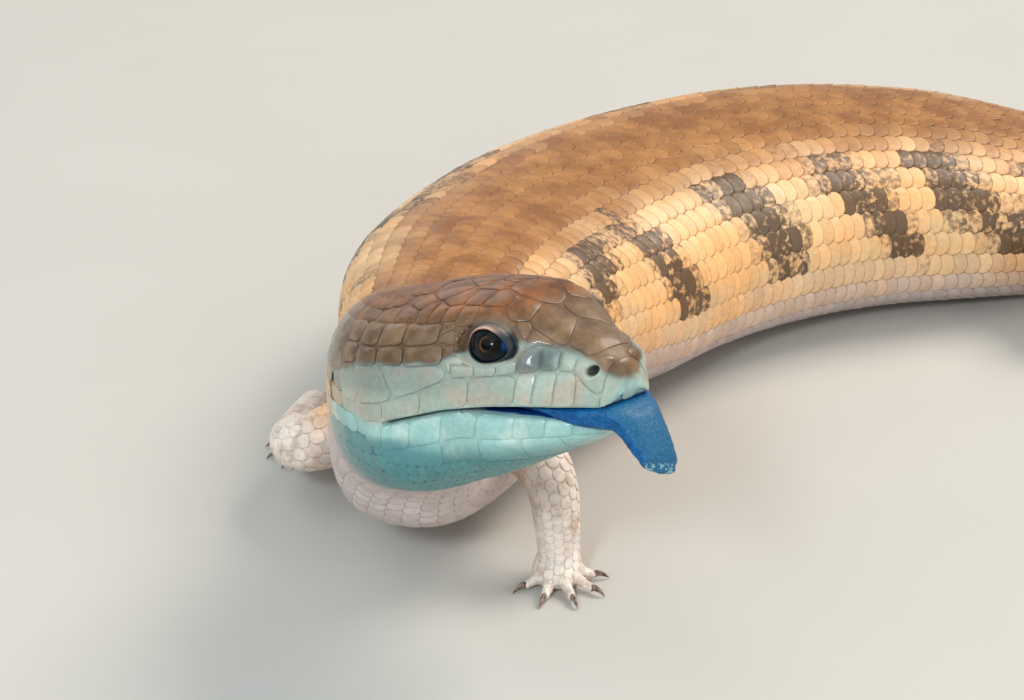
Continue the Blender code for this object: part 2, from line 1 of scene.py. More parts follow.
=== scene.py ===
"""Blue-tongued skink, adult, life size: its skin, scales, head shields, eyes, tongue and claws.

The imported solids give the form. One skin replaces every solid of flesh and lies inside it by the
depth of the coat. Overlapping scales cover the trunk, tail and legs, and fitted shields cover the
head. Sizes are millimetres, turned to metres when a mesh is made. +Z is up, the floor is z = 0.
"""

import json
import logging
import math
from collections.abc import Callable
from dataclasses import dataclass, field
from enum import Enum

import bpy
import numpy as np
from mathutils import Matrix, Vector, noise
from mathutils.bvhtree import BVHTree

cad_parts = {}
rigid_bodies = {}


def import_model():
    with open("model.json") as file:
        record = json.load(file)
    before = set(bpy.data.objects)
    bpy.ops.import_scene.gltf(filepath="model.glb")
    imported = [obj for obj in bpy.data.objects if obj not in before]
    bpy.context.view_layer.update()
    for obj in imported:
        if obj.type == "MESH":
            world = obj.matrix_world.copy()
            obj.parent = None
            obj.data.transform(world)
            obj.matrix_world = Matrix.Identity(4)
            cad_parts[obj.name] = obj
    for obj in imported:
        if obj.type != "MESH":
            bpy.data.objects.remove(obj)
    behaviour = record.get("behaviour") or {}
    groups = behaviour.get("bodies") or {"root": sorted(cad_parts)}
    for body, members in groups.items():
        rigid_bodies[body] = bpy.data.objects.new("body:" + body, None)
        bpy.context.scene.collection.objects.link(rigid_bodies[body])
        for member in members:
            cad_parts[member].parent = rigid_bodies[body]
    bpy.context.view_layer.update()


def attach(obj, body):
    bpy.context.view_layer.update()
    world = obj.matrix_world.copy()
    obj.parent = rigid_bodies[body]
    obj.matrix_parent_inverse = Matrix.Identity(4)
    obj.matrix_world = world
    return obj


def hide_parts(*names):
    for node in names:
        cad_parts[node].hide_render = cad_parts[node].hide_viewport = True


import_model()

LOG = logging.getLogger("skink")
MM = 0.001
BODY = "root"
UP = np.array([0.0, 0.0, 1.0])
RIGHT_ANGLE = math.pi / 2

Array = np.ndarray
Numbers = np.ndarray | float
Pair = tuple[float, float]
Profile = tuple[Pair, ...]
Triple = tuple[float, float, float]
Quad = tuple[float, float, float, float]
Swell = tuple[float, float, float, float, float]
Room = Callable[[Array], Array]


# Numbers and curves.

def profile(points: Profile, where: Numbers) -> Array:
    """Monotone cubic through (distance, value) points.

    Args:
        points: The points, in order of distance.
        where: Distances to read.

    Returns:
        The values there, with no bulge between the points.
    """
    x = np.array([point[0] for point in points], float)
    y = np.array([point[1] for point in points], float)
    step = np.diff(x)
    slope = np.diff(y) / step
    tangent = np.zeros(len(x))
    tangent[0] = slope[0]
    tangent[-1] = slope[-1]
    for i in range(1, len(x) - 1):
        if slope[i - 1] * slope[i] > 0:
            before = 2 * step[i] + step[i - 1]
            after = step[i] + 2 * step[i - 1]
            tangent[i] = (before + after) / (before / slope[i - 1] + after / slope[i])
    s = np.clip(np.asarray(where, float), x[0], x[-1])
    i = np.clip(np.searchsorted(x, s) - 1, 0, len(step) - 1)
    t = (s - x[i]) / step[i]
    rise = t * t * (3 - 2 * t)
    bend = tangent[i] * t * (1 - t) ** 2 - tangent[i + 1] * t * t * (1 - t)
    return y[i] + rise * (y[i + 1] - y[i]) + step[i] * bend


def smooth(low: float, high: float, value: Numbers) -> Array:
    """Smooth step from 0 at low to 1 at high, which may be the lesser of the two."""
    t = np.clip((np.asarray(value, float) - low) / (high - low), 0.0, 1.0)
    return t * t * (3 - 2 * t)


def unit(vectors: Array) -> Array:
    """Vectors scaled to length one, along the last axis."""
    length = np.linalg.norm(vectors, axis=-1, keepdims=True)
    return vectors / np.maximum(length, 1e-9)


def square_to(axis: Array, vector: Array) -> Array:
    """Direction of the part of a vector that is square to an axis of length one."""
    return unit(vector - (vector @ axis) * axis)


def spokes(turn: Array, first: Array, second: Array) -> Array:
    """Directions at angles from a first axis towards a second."""
    return np.cos(turn)[..., None] * first + np.sin(turn)[..., None] * second


def lifted(world: Array, lowest: Numbers) -> Array:
    """Places, each raised to a least height where it is lower."""
    return np.concatenate([world[..., :2], np.maximum(world[..., 2:], np.asarray(lowest)[..., None])], -1)


def lanes(parity: int, rows: int) -> Array:
    """Middles of every second of so many lanes, as shares of their width together."""
    return (np.arange(parity, rows, 2) + 0.5) / rows


def power(value: Array, exponent: Numbers) -> Array:
    """Power that keeps the sign, for superellipses."""
    return np.sign(value) * np.abs(value) ** exponent


def mottle(points: Array, size: float, seed: float) -> Array:
    """Smooth noise from about -1 to 1.

    Args:
        points: Places, as rows of three numbers.
        size: Width of one patch of the noise, in the places' own unit.
        seed: Picks one of many unlike patterns.

    Returns:
        One value for each row.
    """
    shift = Vector((seed * 17.3, seed * -9.1, seed * 4.7))
    return np.array([noise.noise(Vector(p) / size + shift) * 1.6 for p in np.asarray(points, float)])


def spread(start: float, end: float, step: float) -> Array:
    """Evenly spaced distances from start to end, about step apart."""
    return np.linspace(start, end, max(1, round((end - start) / step)) + 1)


def run_along(left: Array, up: Array) -> Array:
    """Length run from the first point of a flat outline to each of its points."""
    return np.concatenate([[0.0], np.cumsum(np.hypot(np.diff(left), np.diff(up)))])


def read_table(table: Array, row: Array, column: Array) -> Array:
    """Values between the entries of a table whose columns run round, by row and column.

    Args:
        table: Numbers or places, by row and column.
        row: Row positions.
        column: Column positions, from 0 up to the count of columns.

    Returns:
        One entry for each pair of positions.
    """
    i, j = row.astype(int), column.astype(int)
    u, v = row - i, column - j
    if table.ndim == 3:
        u, v = u[:, None], v[:, None]
    after = (j + 1) % table.shape[1]
    return ((1 - u) * ((1 - v) * table[i, j] + v * table[i, after])
            + u * ((1 - v) * table[i + 1, j] + v * table[i + 1, after]))


def angles(count: int) -> Array:
    """Evenly spaced angles round a full turn, the end left out."""
    return np.linspace(0, 2 * math.pi, count, endpoint=False)


def grid(rows: Array, columns: Array) -> tuple[Array, Array]:
    """Row and column values of every place on a grid, rows first."""
    return tuple(np.meshgrid(rows, columns, indexing="ij"))


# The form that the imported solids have.

@dataclass
class BodyForm:
    """Spine and girth of the animal.

    A station is a distance from the snout, half width, height and depth. A swell is its distance
    and height, its length and tallness, and how far it stands out.
    """

    length: float = 567.0
    origin_station: float = 207.0
    walk_station: float = 127.0
    mouth_corner: float = 44.0
    flat: float = 1.3
    flat_share: float = 0.3
    heading: Profile = ((0, 134), (51, 134), (65, 106), (79, 86), (95, 78), (127, 77), (157, 69),
                        (197, 48), (247, 27), (297, 5), (362, -7), (467, -3), (567, 26))
    pitch: Profile = ((0, 18), (53, 18), (69, 29), (83, 38), (99, 17), (117, 4), (127, 0), (567, 0))
    chest_lift: Profile = ((0, 6.5), (127, 6.5), (187, 0), (567, 0))
    head_roll: float = 4.0
    roll_span: Pair = (47.0, 107.0)
    upper_power: float = 2.3
    lower_power: float = 2.6
    stations: tuple[Quad, ...] = (
        (0, 0.0, 4.3, -2.9), (1, 4.5, 7.4, -0.5), (3, 7.1, 9.8, 2.8), (6, 9.4, 12.0, 5.6),
        (11, 12.3, 14.6, 8.4), (16, 14.9, 17.4, 10.2), (21.5, 17.4, 19.9, 11.8),
        (30, 20.4, 21.2, 14.4), (39, 22.6, 21.3, 17.0), (47, 23.5, 20.6, 19.0),
        (61, 18.9, 19.2, 21.2), (73, 17.2, 19.2, 23.4), (87, 18.4, 20.4, 28.0),
        (102, 22.0, 21.8, 27.4), (122, 27.4, 23.6, 24.3), (157, 37.0, 25.8, 22.9),
        (197, 42.0, 26.8, 23.3), (247, 42.4, 26.4, 23.3), (297, 39.5, 24.2, 21.8),
        (332, 32.0, 20.4, 18.5), (359, 23.6, 17.2, 16.0), (397, 18.2, 14.6, 13.8),
        (452, 12.8, 10.6, 10.2), (512, 7.4, 6.2, 6.0), (557, 2.6, 2.3, 2.3), (567, 0.4, 0.4, 0.4))
    brow: Swell = (20.5, 17.5, 6.0, 3.2, 1.04)
    loreal: Swell = (11.5, 8.0, 4.0, 3.5, -0.9)
    muzzle: Swell = (4.5, 7.0, 2.6, 3.0, 0.5)
    canthus: Swell = (14.0, 14.4, 5.0, 2.7, 1.1)
    mouth_bump: Swell = (45.4, -0.7, 1.9, 1.2, 0.8)
    brow_rise: float = 0.62
    gape_degrees: float = 6.0
    gape_end: float = 38.0
    jaw_start: float = 2.7
    chin_drop: float = 1.3
    chin_trim: Profile = ((2, 0.9), (4, 1.3), (7, 2.0), (10, 2.2), (16, 1.8), (22, 1.2), (33, 0.15),
                          (38, 0))
    jaw_setback: float = 2.4
    jaw_inset: float = 0.3
    lip_lift: Profile = ((0, 4.3), (0.8, 1.6), (2, 0.4), (3.4, 0), (567, 0))
    lip_arch: Profile = ((0, -1.2), (1.5, -1.0), (4, -0.2), (9, 0.4), (16, 1.2), (22, 1.55), (28, 1.4),
                         (36, 0.4), (44, -0.9))
    mouth_gap: Profile = ((2, 4.0), (3.5, 4.0), (6.5, 3.3), (8.5, 2.7), (12, 2.2), (16, 1.8), (20, 1.5),
                          (24, 0.9), (28, 0.4), (44, 0.4))
    step: float = 0.5
    share_step: float = 3.0
    angle_steps: int = 60
    coarse: int = 4
    batch: int = 4000
    end_margin: float = 0.3
    tables: dict[str, Array] = field(default_factory=dict)

    def __post_init__(self) -> None:
        """Run the spine from its headings, as the solids' own source does."""
        s = np.arange(0.0, self.length + self.step, self.step)
        heading = np.radians(profile(self.heading, s))
        pitch = np.radians(profile(self.pitch, s))
        level = np.cos(pitch)
        back = np.stack([np.cos(heading) * level, np.sin(heading) * level, -np.sin(pitch)], 1)
        middle = (back[1:] + back[:-1]) / 2
        place = np.vstack([np.zeros(3), np.cumsum(middle, 0) * self.step])
        place[:, :2] -= place[int(self.origin_station / self.step), :2]
        depth = self.column(3, s)
        floor = depth + profile(self.chest_lift, s) - np.minimum(self.flat, self.flat_share * depth)
        walk = int(self.walk_station / self.step)
        place[:walk, 2] += floor[walk] - place[walk, 2]
        place[walk:, 2] = floor[walk:]
        forward = -back
        left = unit(np.cross(UP, forward))
        up = np.cross(forward, left)
        roll = -np.radians(np.interp(s, self.roll_span, (self.head_roll, 0.0)))[:, None]
        self.tables = {"s": s, "place": place, "forward": forward,
                       "left": left * np.cos(roll) + up * np.sin(roll),
                       "up": up * np.cos(roll) - left * np.sin(roll)}

    def column(self, index: int, s: Numbers) -> Array:
        """Half width, height or depth of the body (column 1, 2 or 3) at distance s."""
        return profile(tuple((row[0], row[index]) for row in self.stations), s)

    def axes(self, s: Numbers) -> tuple[Array, ...]:
        """Origin, forward, left and up at distances s, each with a last axis of three."""
        where = self.tables["s"]
        return tuple(np.stack([np.interp(s, where, self.tables[name][:, k]) for k in range(3)], -1)
                     for name in ("place", "forward", "left", "up"))

    def at(self, s: Numbers, left: Numbers, up: Numbers) -> Array:
        """World places beside the spine, off the sections at distances s."""
        origin, _, side, top = self.axes(s)
        return origin + np.asarray(left, float)[..., None] * side + np.asarray(up, float)[..., None] * top

    def outline(self, s: Array, turn: Array, grow: Numbers) -> tuple[Array, Array]:
        """Places on the sections at angle turn, counted from the left side up over the back.

        Args:
            s: Distances from the snout.
            turn: Angles in radians.
            grow: How far outside the solids.

        Returns:
            Left and up, from the spine.
        """
        cosine, sine = np.cos(turn), np.sin(turn)
        shape = np.where(sine >= 0, 2 / self.upper_power, 2 / self.lower_power)
        reach = np.where(sine >= 0, self.column(2, s), self.column(3, s)) + grow
        return power(cosine, shape) * (self.column(1, s) + grow), power(sine, shape) * reach

    def relief(self, s: Array, left: Array, up: Array) -> tuple[Array, Array]:
        """Ridges, hollows and bumps of the head, added to places on its sections.

        Args:
            s: Distances from the snout.
            left: Places to the left of the spine.
            up: Places over the spine.

        Returns:
            Left and up with the relief in them.
        """
        swell = [size * np.exp(-((s - middle) / length) ** 2 - ((up - height) / tall) ** 2)
                 for middle, height, length, tall, size in (self.brow, self.loreal, self.muzzle,
                                                            self.canthus, self.mouth_bump)]
        side = np.sign(np.where(np.abs(left) < 1e-6, 0.0, left))
        return left + side * sum(swell), up + swell[0] * self.brow_rise * np.abs(side)

    def surface(self, s: Array, turn: Array, grow: Array) -> Array:
        """World places on the closed body, pressed flat by the floor.

        Args:
            s: Distances from the snout.
            turn: Angles round the section.
            grow: How far outside the solids.

        Returns:
            The places.
        """
        left, up = self.relief(s, *self.outline(s, turn, grow))
        return lifted(self.at(s, left, up), -grow)

    def gape(self, s: Numbers) -> Array:
        """How far the underside of the open jaw hangs below its closed place."""
        return math.tan(math.radians(self.gape_degrees)) * np.maximum(0.0, self.gape_end - s)

    def lip_line(self, s: Numbers) -> Array:
        """Height of the upper lip over the plane that the mouth would close on."""
        return profile(self.lip_lift, s) + profile(self.lip_arch, s)

    def side_at(self, s: float, up: float) -> float:
        """Half width of the body at one height over its axis.

        Args:
            s: Distance from the snout.
            up: Height over the spine.

        Returns:
            The half width.
        """
        reach = float(self.column(2 if up >= 0 else 3, s))
        shape = self.upper_power if up >= 0 else self.lower_power
        share = min(abs(up) / max(reach, 0.1), 0.98)
        return float(self.column(1, s)) * (1 - share ** shape) ** (1 / shape)

    def turns(self, s: float, share: Array) -> Array:
        """Angles of places given by their share of the girth.

        Args:
            s: Distance of one section.
            share: Shares of the whole girth from the middle of the back, left positive.

        Returns:
            Angles for outline().
        """
        fine = np.linspace(RIGHT_ANGLE, -RIGHT_ANGLE, 181)
        run = run_along(*self.outline(np.full_like(fine, s), fine, 0.0))
        turn = np.interp(np.abs(share) * 2 * run[-1], run, fine)
        return np.where(share >= 0, turn, math.pi - turn)

    def girth(self, s: float) -> float:
        """Length round the section at distance s."""
        turn = np.linspace(0, 2 * math.pi, 121)
        left, up = self.outline(np.full_like(turn, s), turn, 0.0)
        return float(np.hypot(np.diff(left), np.diff(up)).sum())

    def share_table(self) -> Array:
        """Share of the half girth run from the back down, by distance and angle.

        Returns:
            One row for each distance, one column for each angle.
        """
        if "shares" not in self.tables:
            fine = np.linspace(RIGHT_ANGLE, -RIGHT_ANGLE, self.angle_steps + 1)
            rows = []
            for s in np.arange(0, self.length + self.share_step, self.share_step):
                run = run_along(*self.outline(np.full_like(fine, max(s, 1.0)), fine, 0.0))
                rows.append(run / run[-1])
            self.tables["shares"] = np.array(rows)
        return self.tables["shares"]

    def locate(self, world: Array) -> tuple[Array, Array, Array]:
        """Chart places of world places.

        Args:
            world: Places as rows.

        Returns:
            Distance along the body, signed share of the half girth from the back down, and how far
            outside the body the place is.
        """
        every, distances = self.tables["place"][::self.coarse], self.tables["s"][::self.coarse]
        s = np.zeros(len(world))
        for start in range(0, len(world), self.batch):
            block = world[start:start + self.batch]
            away = ((block[:, None, :] - every[None]) ** 2).sum(-1)
            s[start:start + self.batch] = distances[away.argmin(1)]
        for _ in range(3):
            origin, forward, _, _ = self.axes(s)
            s = s - ((world - origin) * forward).sum(-1)
            s = np.clip(s, self.end_margin, self.length - self.end_margin)
        origin, _, side, top = self.axes(s)
        left = ((world - origin) * side).sum(-1)
        up = ((world - origin) * top).sum(-1)
        shape = np.where(up >= 0, self.upper_power, self.lower_power)
        across = np.abs(left) / self.column(1, s)
        over = np.abs(up) / np.where(up >= 0, self.column(2, s), np.abs(self.column(3, s)) + 0.01)
        ratio = np.maximum((across ** shape + over ** shape) ** (1 / shape), 1e-3)
        turn = np.arctan2(np.sign(up) * over ** (shape / 2), across ** (shape / 2))
        table = self.share_table()
        row = np.clip(s / self.share_step, 0, len(table) - 1.001)
        column = np.clip((RIGHT_ANGLE - turn) / math.pi * self.angle_steps, 0, self.angle_steps - 0.001)
        share = read_table(table, row, column)
        return s, np.where(left >= 0, share, -share), np.hypot(left, up) * (1 - 1 / ratio)

    def head_places(self, world: Array) -> tuple[Array, Array, Array]:
        """Distance back, left and up of world places, in the head's own straight frame."""
        origin, forward, left, up = self.axes(0.0)
        offset = np.asarray(world, float) - origin
        return -(offset @ forward), offset @ left, offset @ up


FORM = BodyForm()
HEAD_COAT = 0.45
NOSTRIL = (2.9, 6.2)
NOSTRIL_SIZE = 0.8
NOSTRIL_SQUASH = 0.85
NOSTRIL_OUT = 3.0
FAR = 9.0
HEAD_SPAN = (0.0, 66.0)
MAP_SHARE = 0.96
MAP_EDGE = 0.02


def on_map(where: Numbers, span: Pair) -> Numbers:
    """Place on the bake map of a distance within a span, clear of the map's edges."""
    return (where - span[0]) / (span[1] - span[0]) * MAP_SHARE + MAP_EDGE


def nostril_away(world: Array) -> Array:
    """Distance of places on the muzzle from the middle of the nearer nostril."""
    back, left, up = FORM.head_places(world)
    away = np.hypot(back - NOSTRIL[0], (up - NOSTRIL[1]) * NOSTRIL_SQUASH)
    return np.where(np.abs(left) > NOSTRIL_OUT, away, FAR)


class Side(Enum):
    """The animal's own left and right."""

    LEFT = 1
    RIGHT = -1


@dataclass
class LimbForm:
    """One leg's centre line and girth, and its foot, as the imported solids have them."""

    name: str
    side: Side
    root: float
    joints: tuple[Triple, ...]
    radii: tuple[float, ...]
    fan: tuple[float, ...]
    digits: tuple[float, ...]
    bend: float = 0.5
    digit_radius: float = 1.75
    digit_taper: float = 0.28
    palm_radius: float = 5.4
    palm_height: float = 3.4
    palm_ahead: float = 0.35
    sole_share: float = 0.86
    sole_bulge: float = 0.3
    digit_start: float = 0.8
    digit_reach: float = 0.7
    knuckle_at: float = 0.55
    knuckle_height: float = 1.35
    tip_height: float = 0.72
    tip_round: float = 0.62
    joint_swell: float = 0.07

    def __post_init__(self) -> None:
        """Turn the joints into world places."""
        origin, forward, _, _ = FORM.axes(self.root)
        self.forward = unit(np.array([forward[0], forward[1], 0.0]))
        self.outward = self.side.value * np.cross(UP, self.forward)
        base = np.array([origin[0], origin[1], 0.0])
        self.points = [base + ahead * self.forward + out * self.outward + high * UP
                       for ahead, out, high in self.joints]

    def path(self, t: Numbers) -> Array:
        """Centre line, t from 0 at the root to 2 at the wrist, rounded at the middle joint.

        Args:
            t: Places along the leg.

        Returns:
            World places.
        """
        t = np.asarray(t, float)[..., None]
        root, knee, wrist = self.points
        start = root + (knee - root) * (1 - self.bend)
        end = knee + (wrist - knee) * self.bend
        u = np.clip((t - 1 + self.bend) / (2 * self.bend), 0, 1)
        arc = (1 - u) ** 2 * start + 2 * u * (1 - u) * knee + u * u * end
        upper = root + (knee - root) * t
        lower = knee + (wrist - knee) * (t - 1)
        return np.where(t < 1 - self.bend, upper, np.where(t > 1 + self.bend, lower, arc))

    def axes(self, t: Numbers) -> tuple[Array, Array, Array]:
        """Along, across and over the leg, square to its centre line.

        Args:
            t: Places along the leg.

        Returns:
            Three unit directions at each.
        """
        t = np.asarray(t, float)
        ahead = unit(self.path(np.minimum(t + 0.02, 2.0)) - self.path(np.maximum(t - 0.02, 0.0)))
        across = unit(np.cross(ahead, self.forward + 0.3 * UP))
        return ahead, across, np.cross(across, ahead)

    def radius(self, t: Numbers) -> Array:
        """Radius along the leg."""
        return profile(tuple((i * 0.5, r) for i, r in enumerate(self.radii)), t)

    def surface(self, t: Array, turn: Array, grow: float) -> Array:
        """World places on the leg's tube.

        Args:
            t: Places along the leg.
            turn: Angles round it.
            grow: How far outside the solids.

        Returns:
            The places, none under the floor.
        """
        _, across, over = self.axes(t)
        size = (self.radius(t) + grow)[..., None]
        return lifted(self.path(t) + size * spokes(turn, across, over), -grow)

    def palm(self) -> Array:
        """Middle of the sole.

        Returns:
            A world place.
        """
        wrist = self.points[2]
        ahead = self.forward * self.palm_radius * self.palm_ahead
        return np.array([wrist[0], wrist[1], 0.0]) + ahead

    def foot_rings(self, sides: int, grow: float) -> Array:
        """Rings of places from the wrist down to the sole.

        Args:
            sides: Places in one ring.
            grow: How far outside the solids.

        Returns:
            Places, (rings, sides, 3).
        """
        turn = angles(sides)
        _, across, _ = self.axes(2.0)
        across = unit(across * np.array([1.0, 1.0, 0.0]))
        over = np.cross(across, -UP)
        spoke = spokes(turn, across, over)
        wrist = self.surface(np.full(sides, 2.0), turn, grow)
        top = self.palm() + self.palm_height * UP + spoke * (self.palm_radius + grow)
        sole = self.palm() + spoke * (self.palm_radius * self.sole_share + grow)
        ankle = 0.5 * (wrist + top)
        side = 0.5 * (top + sole) + spoke * self.sole_bulge
        rings = [wrist, 0.5 * (wrist + ankle), ankle, 0.5 * (ankle + top), top, side, sole]
        return lifted(np.stack(rings), -grow)

    def digit_line(self, index: int) -> tuple[Array, Array, Array, Array]:
        """Root, knuckle and tip of a digit, and the way it points.

        Args:
            index: Which digit, from the inner one.

        Returns:
            Three places, and a level direction of length one.
        """
        turn = math.radians(self.fan[index])
        aim = math.cos(turn) * self.forward - math.sin(turn) * self.outward
        root = self.palm() + aim * self.palm_radius * self.palm_ahead
        root[2] = self.palm_height * self.digit_start
        tip = self.palm() + aim * (self.palm_radius * self.digit_reach + self.digits[index])
        knuckle = root * (1 - self.knuckle_at) + tip * self.knuckle_at
        knuckle[2] = self.digit_radius * self.knuckle_height
        tip[2] = self.digit_radius * self.tip_height
        return root, knuckle, tip, aim

    def digit_surface(self, index: int, t: Array, turn: Array, grow: float) -> Array:
        """World places on a digit, t from 0 at its root to 1 at its tip, rounded off past 1.

        Args:
            index: Which digit.
            t: Places along it.
            turn: Angles round it.
            grow: How far outside the solids.

        Returns:
            The places, none under the floor.
        """
        root, knuckle, tip, aim = self.digit_line(index)
        across = np.cross(aim, UP)
        share = np.clip(t, 0, 1)[..., None]
        past = np.maximum(t - 1, 0)[..., None]
        middle = (1 - share) ** 2 * root + 2 * share * (1 - share) * knuckle + share ** 2 * tip
        middle = middle + aim * past * self.digit_radius
        joint = 1 + self.joint_swell * np.cos(share * math.pi * 6)
        size = self.digit_radius * (1 - self.digit_taper * share) * joint + grow
        size = size * np.sqrt(np.clip(1 - (past / self.tip_round) ** 2, 0.03, 1))
        return lifted(middle + size * spokes(turn, across, UP), -grow)


FORE_RADII = (8.6, 7.2, 6.1, 5.2, 4.6)
HIND_RADII = (11.0, 9.4, 7.4, 5.8, 4.8)
FORE_DIGITS = (3.4, 4.4, 4.8, 4.5, 3.6)
HIND_DIGITS = (3.8, 5.8, 7.6, 8.4, 4.8)
HIND_FAN = (50.0, 24.0, 2.0, -22.0, -58.0)
LIMBS = (
    LimbForm("left_fore", Side.LEFT, 109.0, ((4, 8, 27), (23, 29, 26), (25, 31, 6.5)),
             FORE_RADII, (47.0, 6.0, -32.0, -68.0, -106.0), FORE_DIGITS),
    LimbForm("right_fore", Side.RIGHT, 109.0, ((3, 8, 24), (15, 32.5, 15.5), (-18, 34, 10.0)),
             FORE_RADII, (4.0, -26.0, -54.0, -82.0, -112.0), FORE_DIGITS),
    LimbForm("left_hind", Side.LEFT, 342.0, ((2, 12, 19), (12, 45, 20), (-8, 53, 9.0)),
             HIND_RADII, HIND_FAN, HIND_DIGITS),
    LimbForm("right_hind", Side.RIGHT, 342.0, ((-2, 12, 19), (2, 44, 20), (-21, 49, 9.0)),
             HIND_RADII, HIND_FAN, HIND_DIGITS),
)
DIGIT_COUNT = 5


# Markings, the same on skin, shields and scales.

@dataclass(frozen=True)
class Markings:
    """Where the animal is dark, brown and pale, as shares from 0 to 1."""

    bands: tuple[Pair, ...] = (
        (108, 20), (139, -110), (176, 55), (224, 55), (266, 100), (303, 108), (339, 95), (374, 60),
        (407, 50), (438, 40), (467, 30), (494, 25), (519, 20), (542, 15))
    right_shift: float = 11.0
    slant_from: float = 0.35
    band_top: float = 0.25
    band_foot: float = 0.5
    band_width: float = 9.6
    back_edge: float = 0.2
    belly_edge: float = 0.55
    tail_start: float = 345.0
    tail_blend: float = 50.0
    tail_narrow: float = 0.3
    tail_top: float = 0.14
    tail_foot: float = 0.25
    wander: Pair = (3.6, 2.6)
    band_edge: Pair = (0.4, 1.3)
    shade_edge: Pair = (0.7, 1.9)
    shade_dark: float = 0.55
    fleck_dark: float = 0.22
    neck_fade: Pair = (150.0, 115.0)
    neck_loss: float = 0.7
    over_legs: float = 0.25
    leg_pale: float = 0.4
    crown_line: Profile = ((0, 3.2), (0.7, 3.9), (1.4, 5.6), (2.4, 7.9), (6, 9.2), (13, 11.2),
                           (20, 12.6), (27, 10.8), (34, 9.4), (50, 9.2), (58, 7.5), (66, 4.0))
    snout_dip: float = 3.8
    snout_width: float = 4.2
    loreal_patch: Quad = (12.2, 3.9, 9.0, 2.3)
    under_eye: Quad = (22.0, 6.5, 7.4, 1.6)
    loreal_dark: float = 0.78
    plates_dark: float = 0.34
    under_dark: float = 0.2
    crown_dark: float = 0.12
    # Below the lip the throat takes its darker colour further back and deeper down: painted shade under the
    # head.
    throat_shade_rear: Pair = (30.0, 13.0)
    throat_shade_slope: float = 0.45
    head_join: float = 63.0
    head_blend: float = 7.0

    def body(self, s: Array, around: Array, world: Array) -> Array:
        """Markings of the neck, trunk and tail.

        Args:
            s: Distances from the snout.
            around: Signed shares of the half girth, 0 on the back and 1 under the belly.
            world: The same places, for the noise.

        Returns:
            Rows of dark, brown and pale.
        """
        share = np.abs(around)
        wander = self.wander[0] * mottle(world, 15.0, 1.0) + self.wander[1] * mottle(world, 5.5, 2.0)
        blotch = mottle(world, 7.5, 3.0)
        fine = mottle(world, 3.4, 4.0)
        on_tail = smooth(self.tail_start, self.tail_start + self.tail_blend, s)
        dark = np.zeros_like(s)
        shade = np.zeros_like(s)
        for place, slant in self.bands:
            middle = place + self.right_shift * (around < 0) + slant * (share - self.slant_from)
            off = np.abs(s + wander - middle)
            width = self.band_width * (1 - self.tail_narrow * on_tail)
            dark = np.maximum(dark, 1 - smooth(*self.band_edge, off / width + 0.45 * blotch))
            shade = np.maximum(shade, 1 - smooth(*self.shade_edge, off / width + 0.3 * fine))
        top = self.band_top - self.tail_top * on_tail + 0.04 * blotch
        low = self.band_foot + self.tail_foot * on_tail + 0.03 * fine
        window = smooth(top - 0.05, top + 0.05, share) * (1 - smooth(low - 0.05, low + 0.04, share))
        upper = smooth(top - 0.12, top, share) * (1 - smooth(low - 0.08, low + 0.04, share))
        strength = 1 - self.neck_loss * smooth(*self.neck_fade, s)
        above = 1 - smooth(0.42, 0.55, share)
        fleck = self.fleck_dark * smooth(0.5, 0.95, fine + 0.4 * blotch) * above
        dark = np.maximum(dark * window, self.shade_dark * shade * upper) * strength + fleck
        brown = 1 - smooth(self.back_edge - 0.1, self.back_edge + 0.14, share + 0.05 * blotch)
        pale = smooth(self.belly_edge - 0.06, self.belly_edge + 0.1, share + 0.02 * blotch)
        return np.stack([np.clip(dark, 0, 1), brown, pale], -1)

    def head(self, world: Array) -> Array:
        """Markings of the head and jaw at world places, as rows of dark, brown and pale; below the lip, pale
        runs on towards the throat's colour, which is partly painted shade under the head.

        Args:
            world: World places, as rows.

        Returns:
            The rows.
        """
        back, left, up = FORM.head_places(world)
        line = profile(self.crown_line, back) + 0.5 * mottle(world, 5.0, 5.0)
        middle = np.exp(-(left / self.snout_width) ** 2) * smooth(7.0, 2.0, back)
        line = line - self.snout_dip * middle * smooth(0.6, 2.0, back)
        brown = smooth(-1.1, 1.2, up - line)
        loreal = self.patch(back, up, self.loreal_patch)
        plates = smooth(24, 34, back) * smooth(3.0, 6.0, up) * (1 - brown)
        under = self.patch(back, up, self.under_eye) * (1 - brown)
        dark = self.loreal_dark * loreal * (1 - 0.6 * brown) + self.plates_dark * plates
        dark = dark + self.under_dark * under
        dark = dark + self.crown_dark * brown * smooth(-0.2, 0.8, mottle(world, 4.0, 6.0))
        # Under the lip, pale runs from the cheek to the jaw's colour and, deeper and further back, to the
        # throat's darker colour: painted shade under the head.
        below = FORM.lip_line(back) - 0.6 - up
        start, length = self.throat_shade_rear
        rear = np.clip(back - start, 0, length)
        deep = below + self.throat_shade_slope * rear * smooth(0.0, 3.5, below)
        pale = 0.5 * smooth(-2.6, 0.8, below) + 0.5 * smooth(4.2, 11.5, deep) * (below > 0)
        pale = pale * (1 - brown) + smooth(19.5, 14.5, up) * brown
        return np.stack([np.clip(dark, 0, 1), brown, pale], -1)

    @staticmethod
    def patch(back: Array, up: Array, spot: Quad) -> Array:
        """Soft patch, given by its middle and length back and its middle and height up."""
        middle, length, height, tall = spot
        return np.exp(-((back - middle) / length) ** 4 - ((up - height) / tall) ** 4)

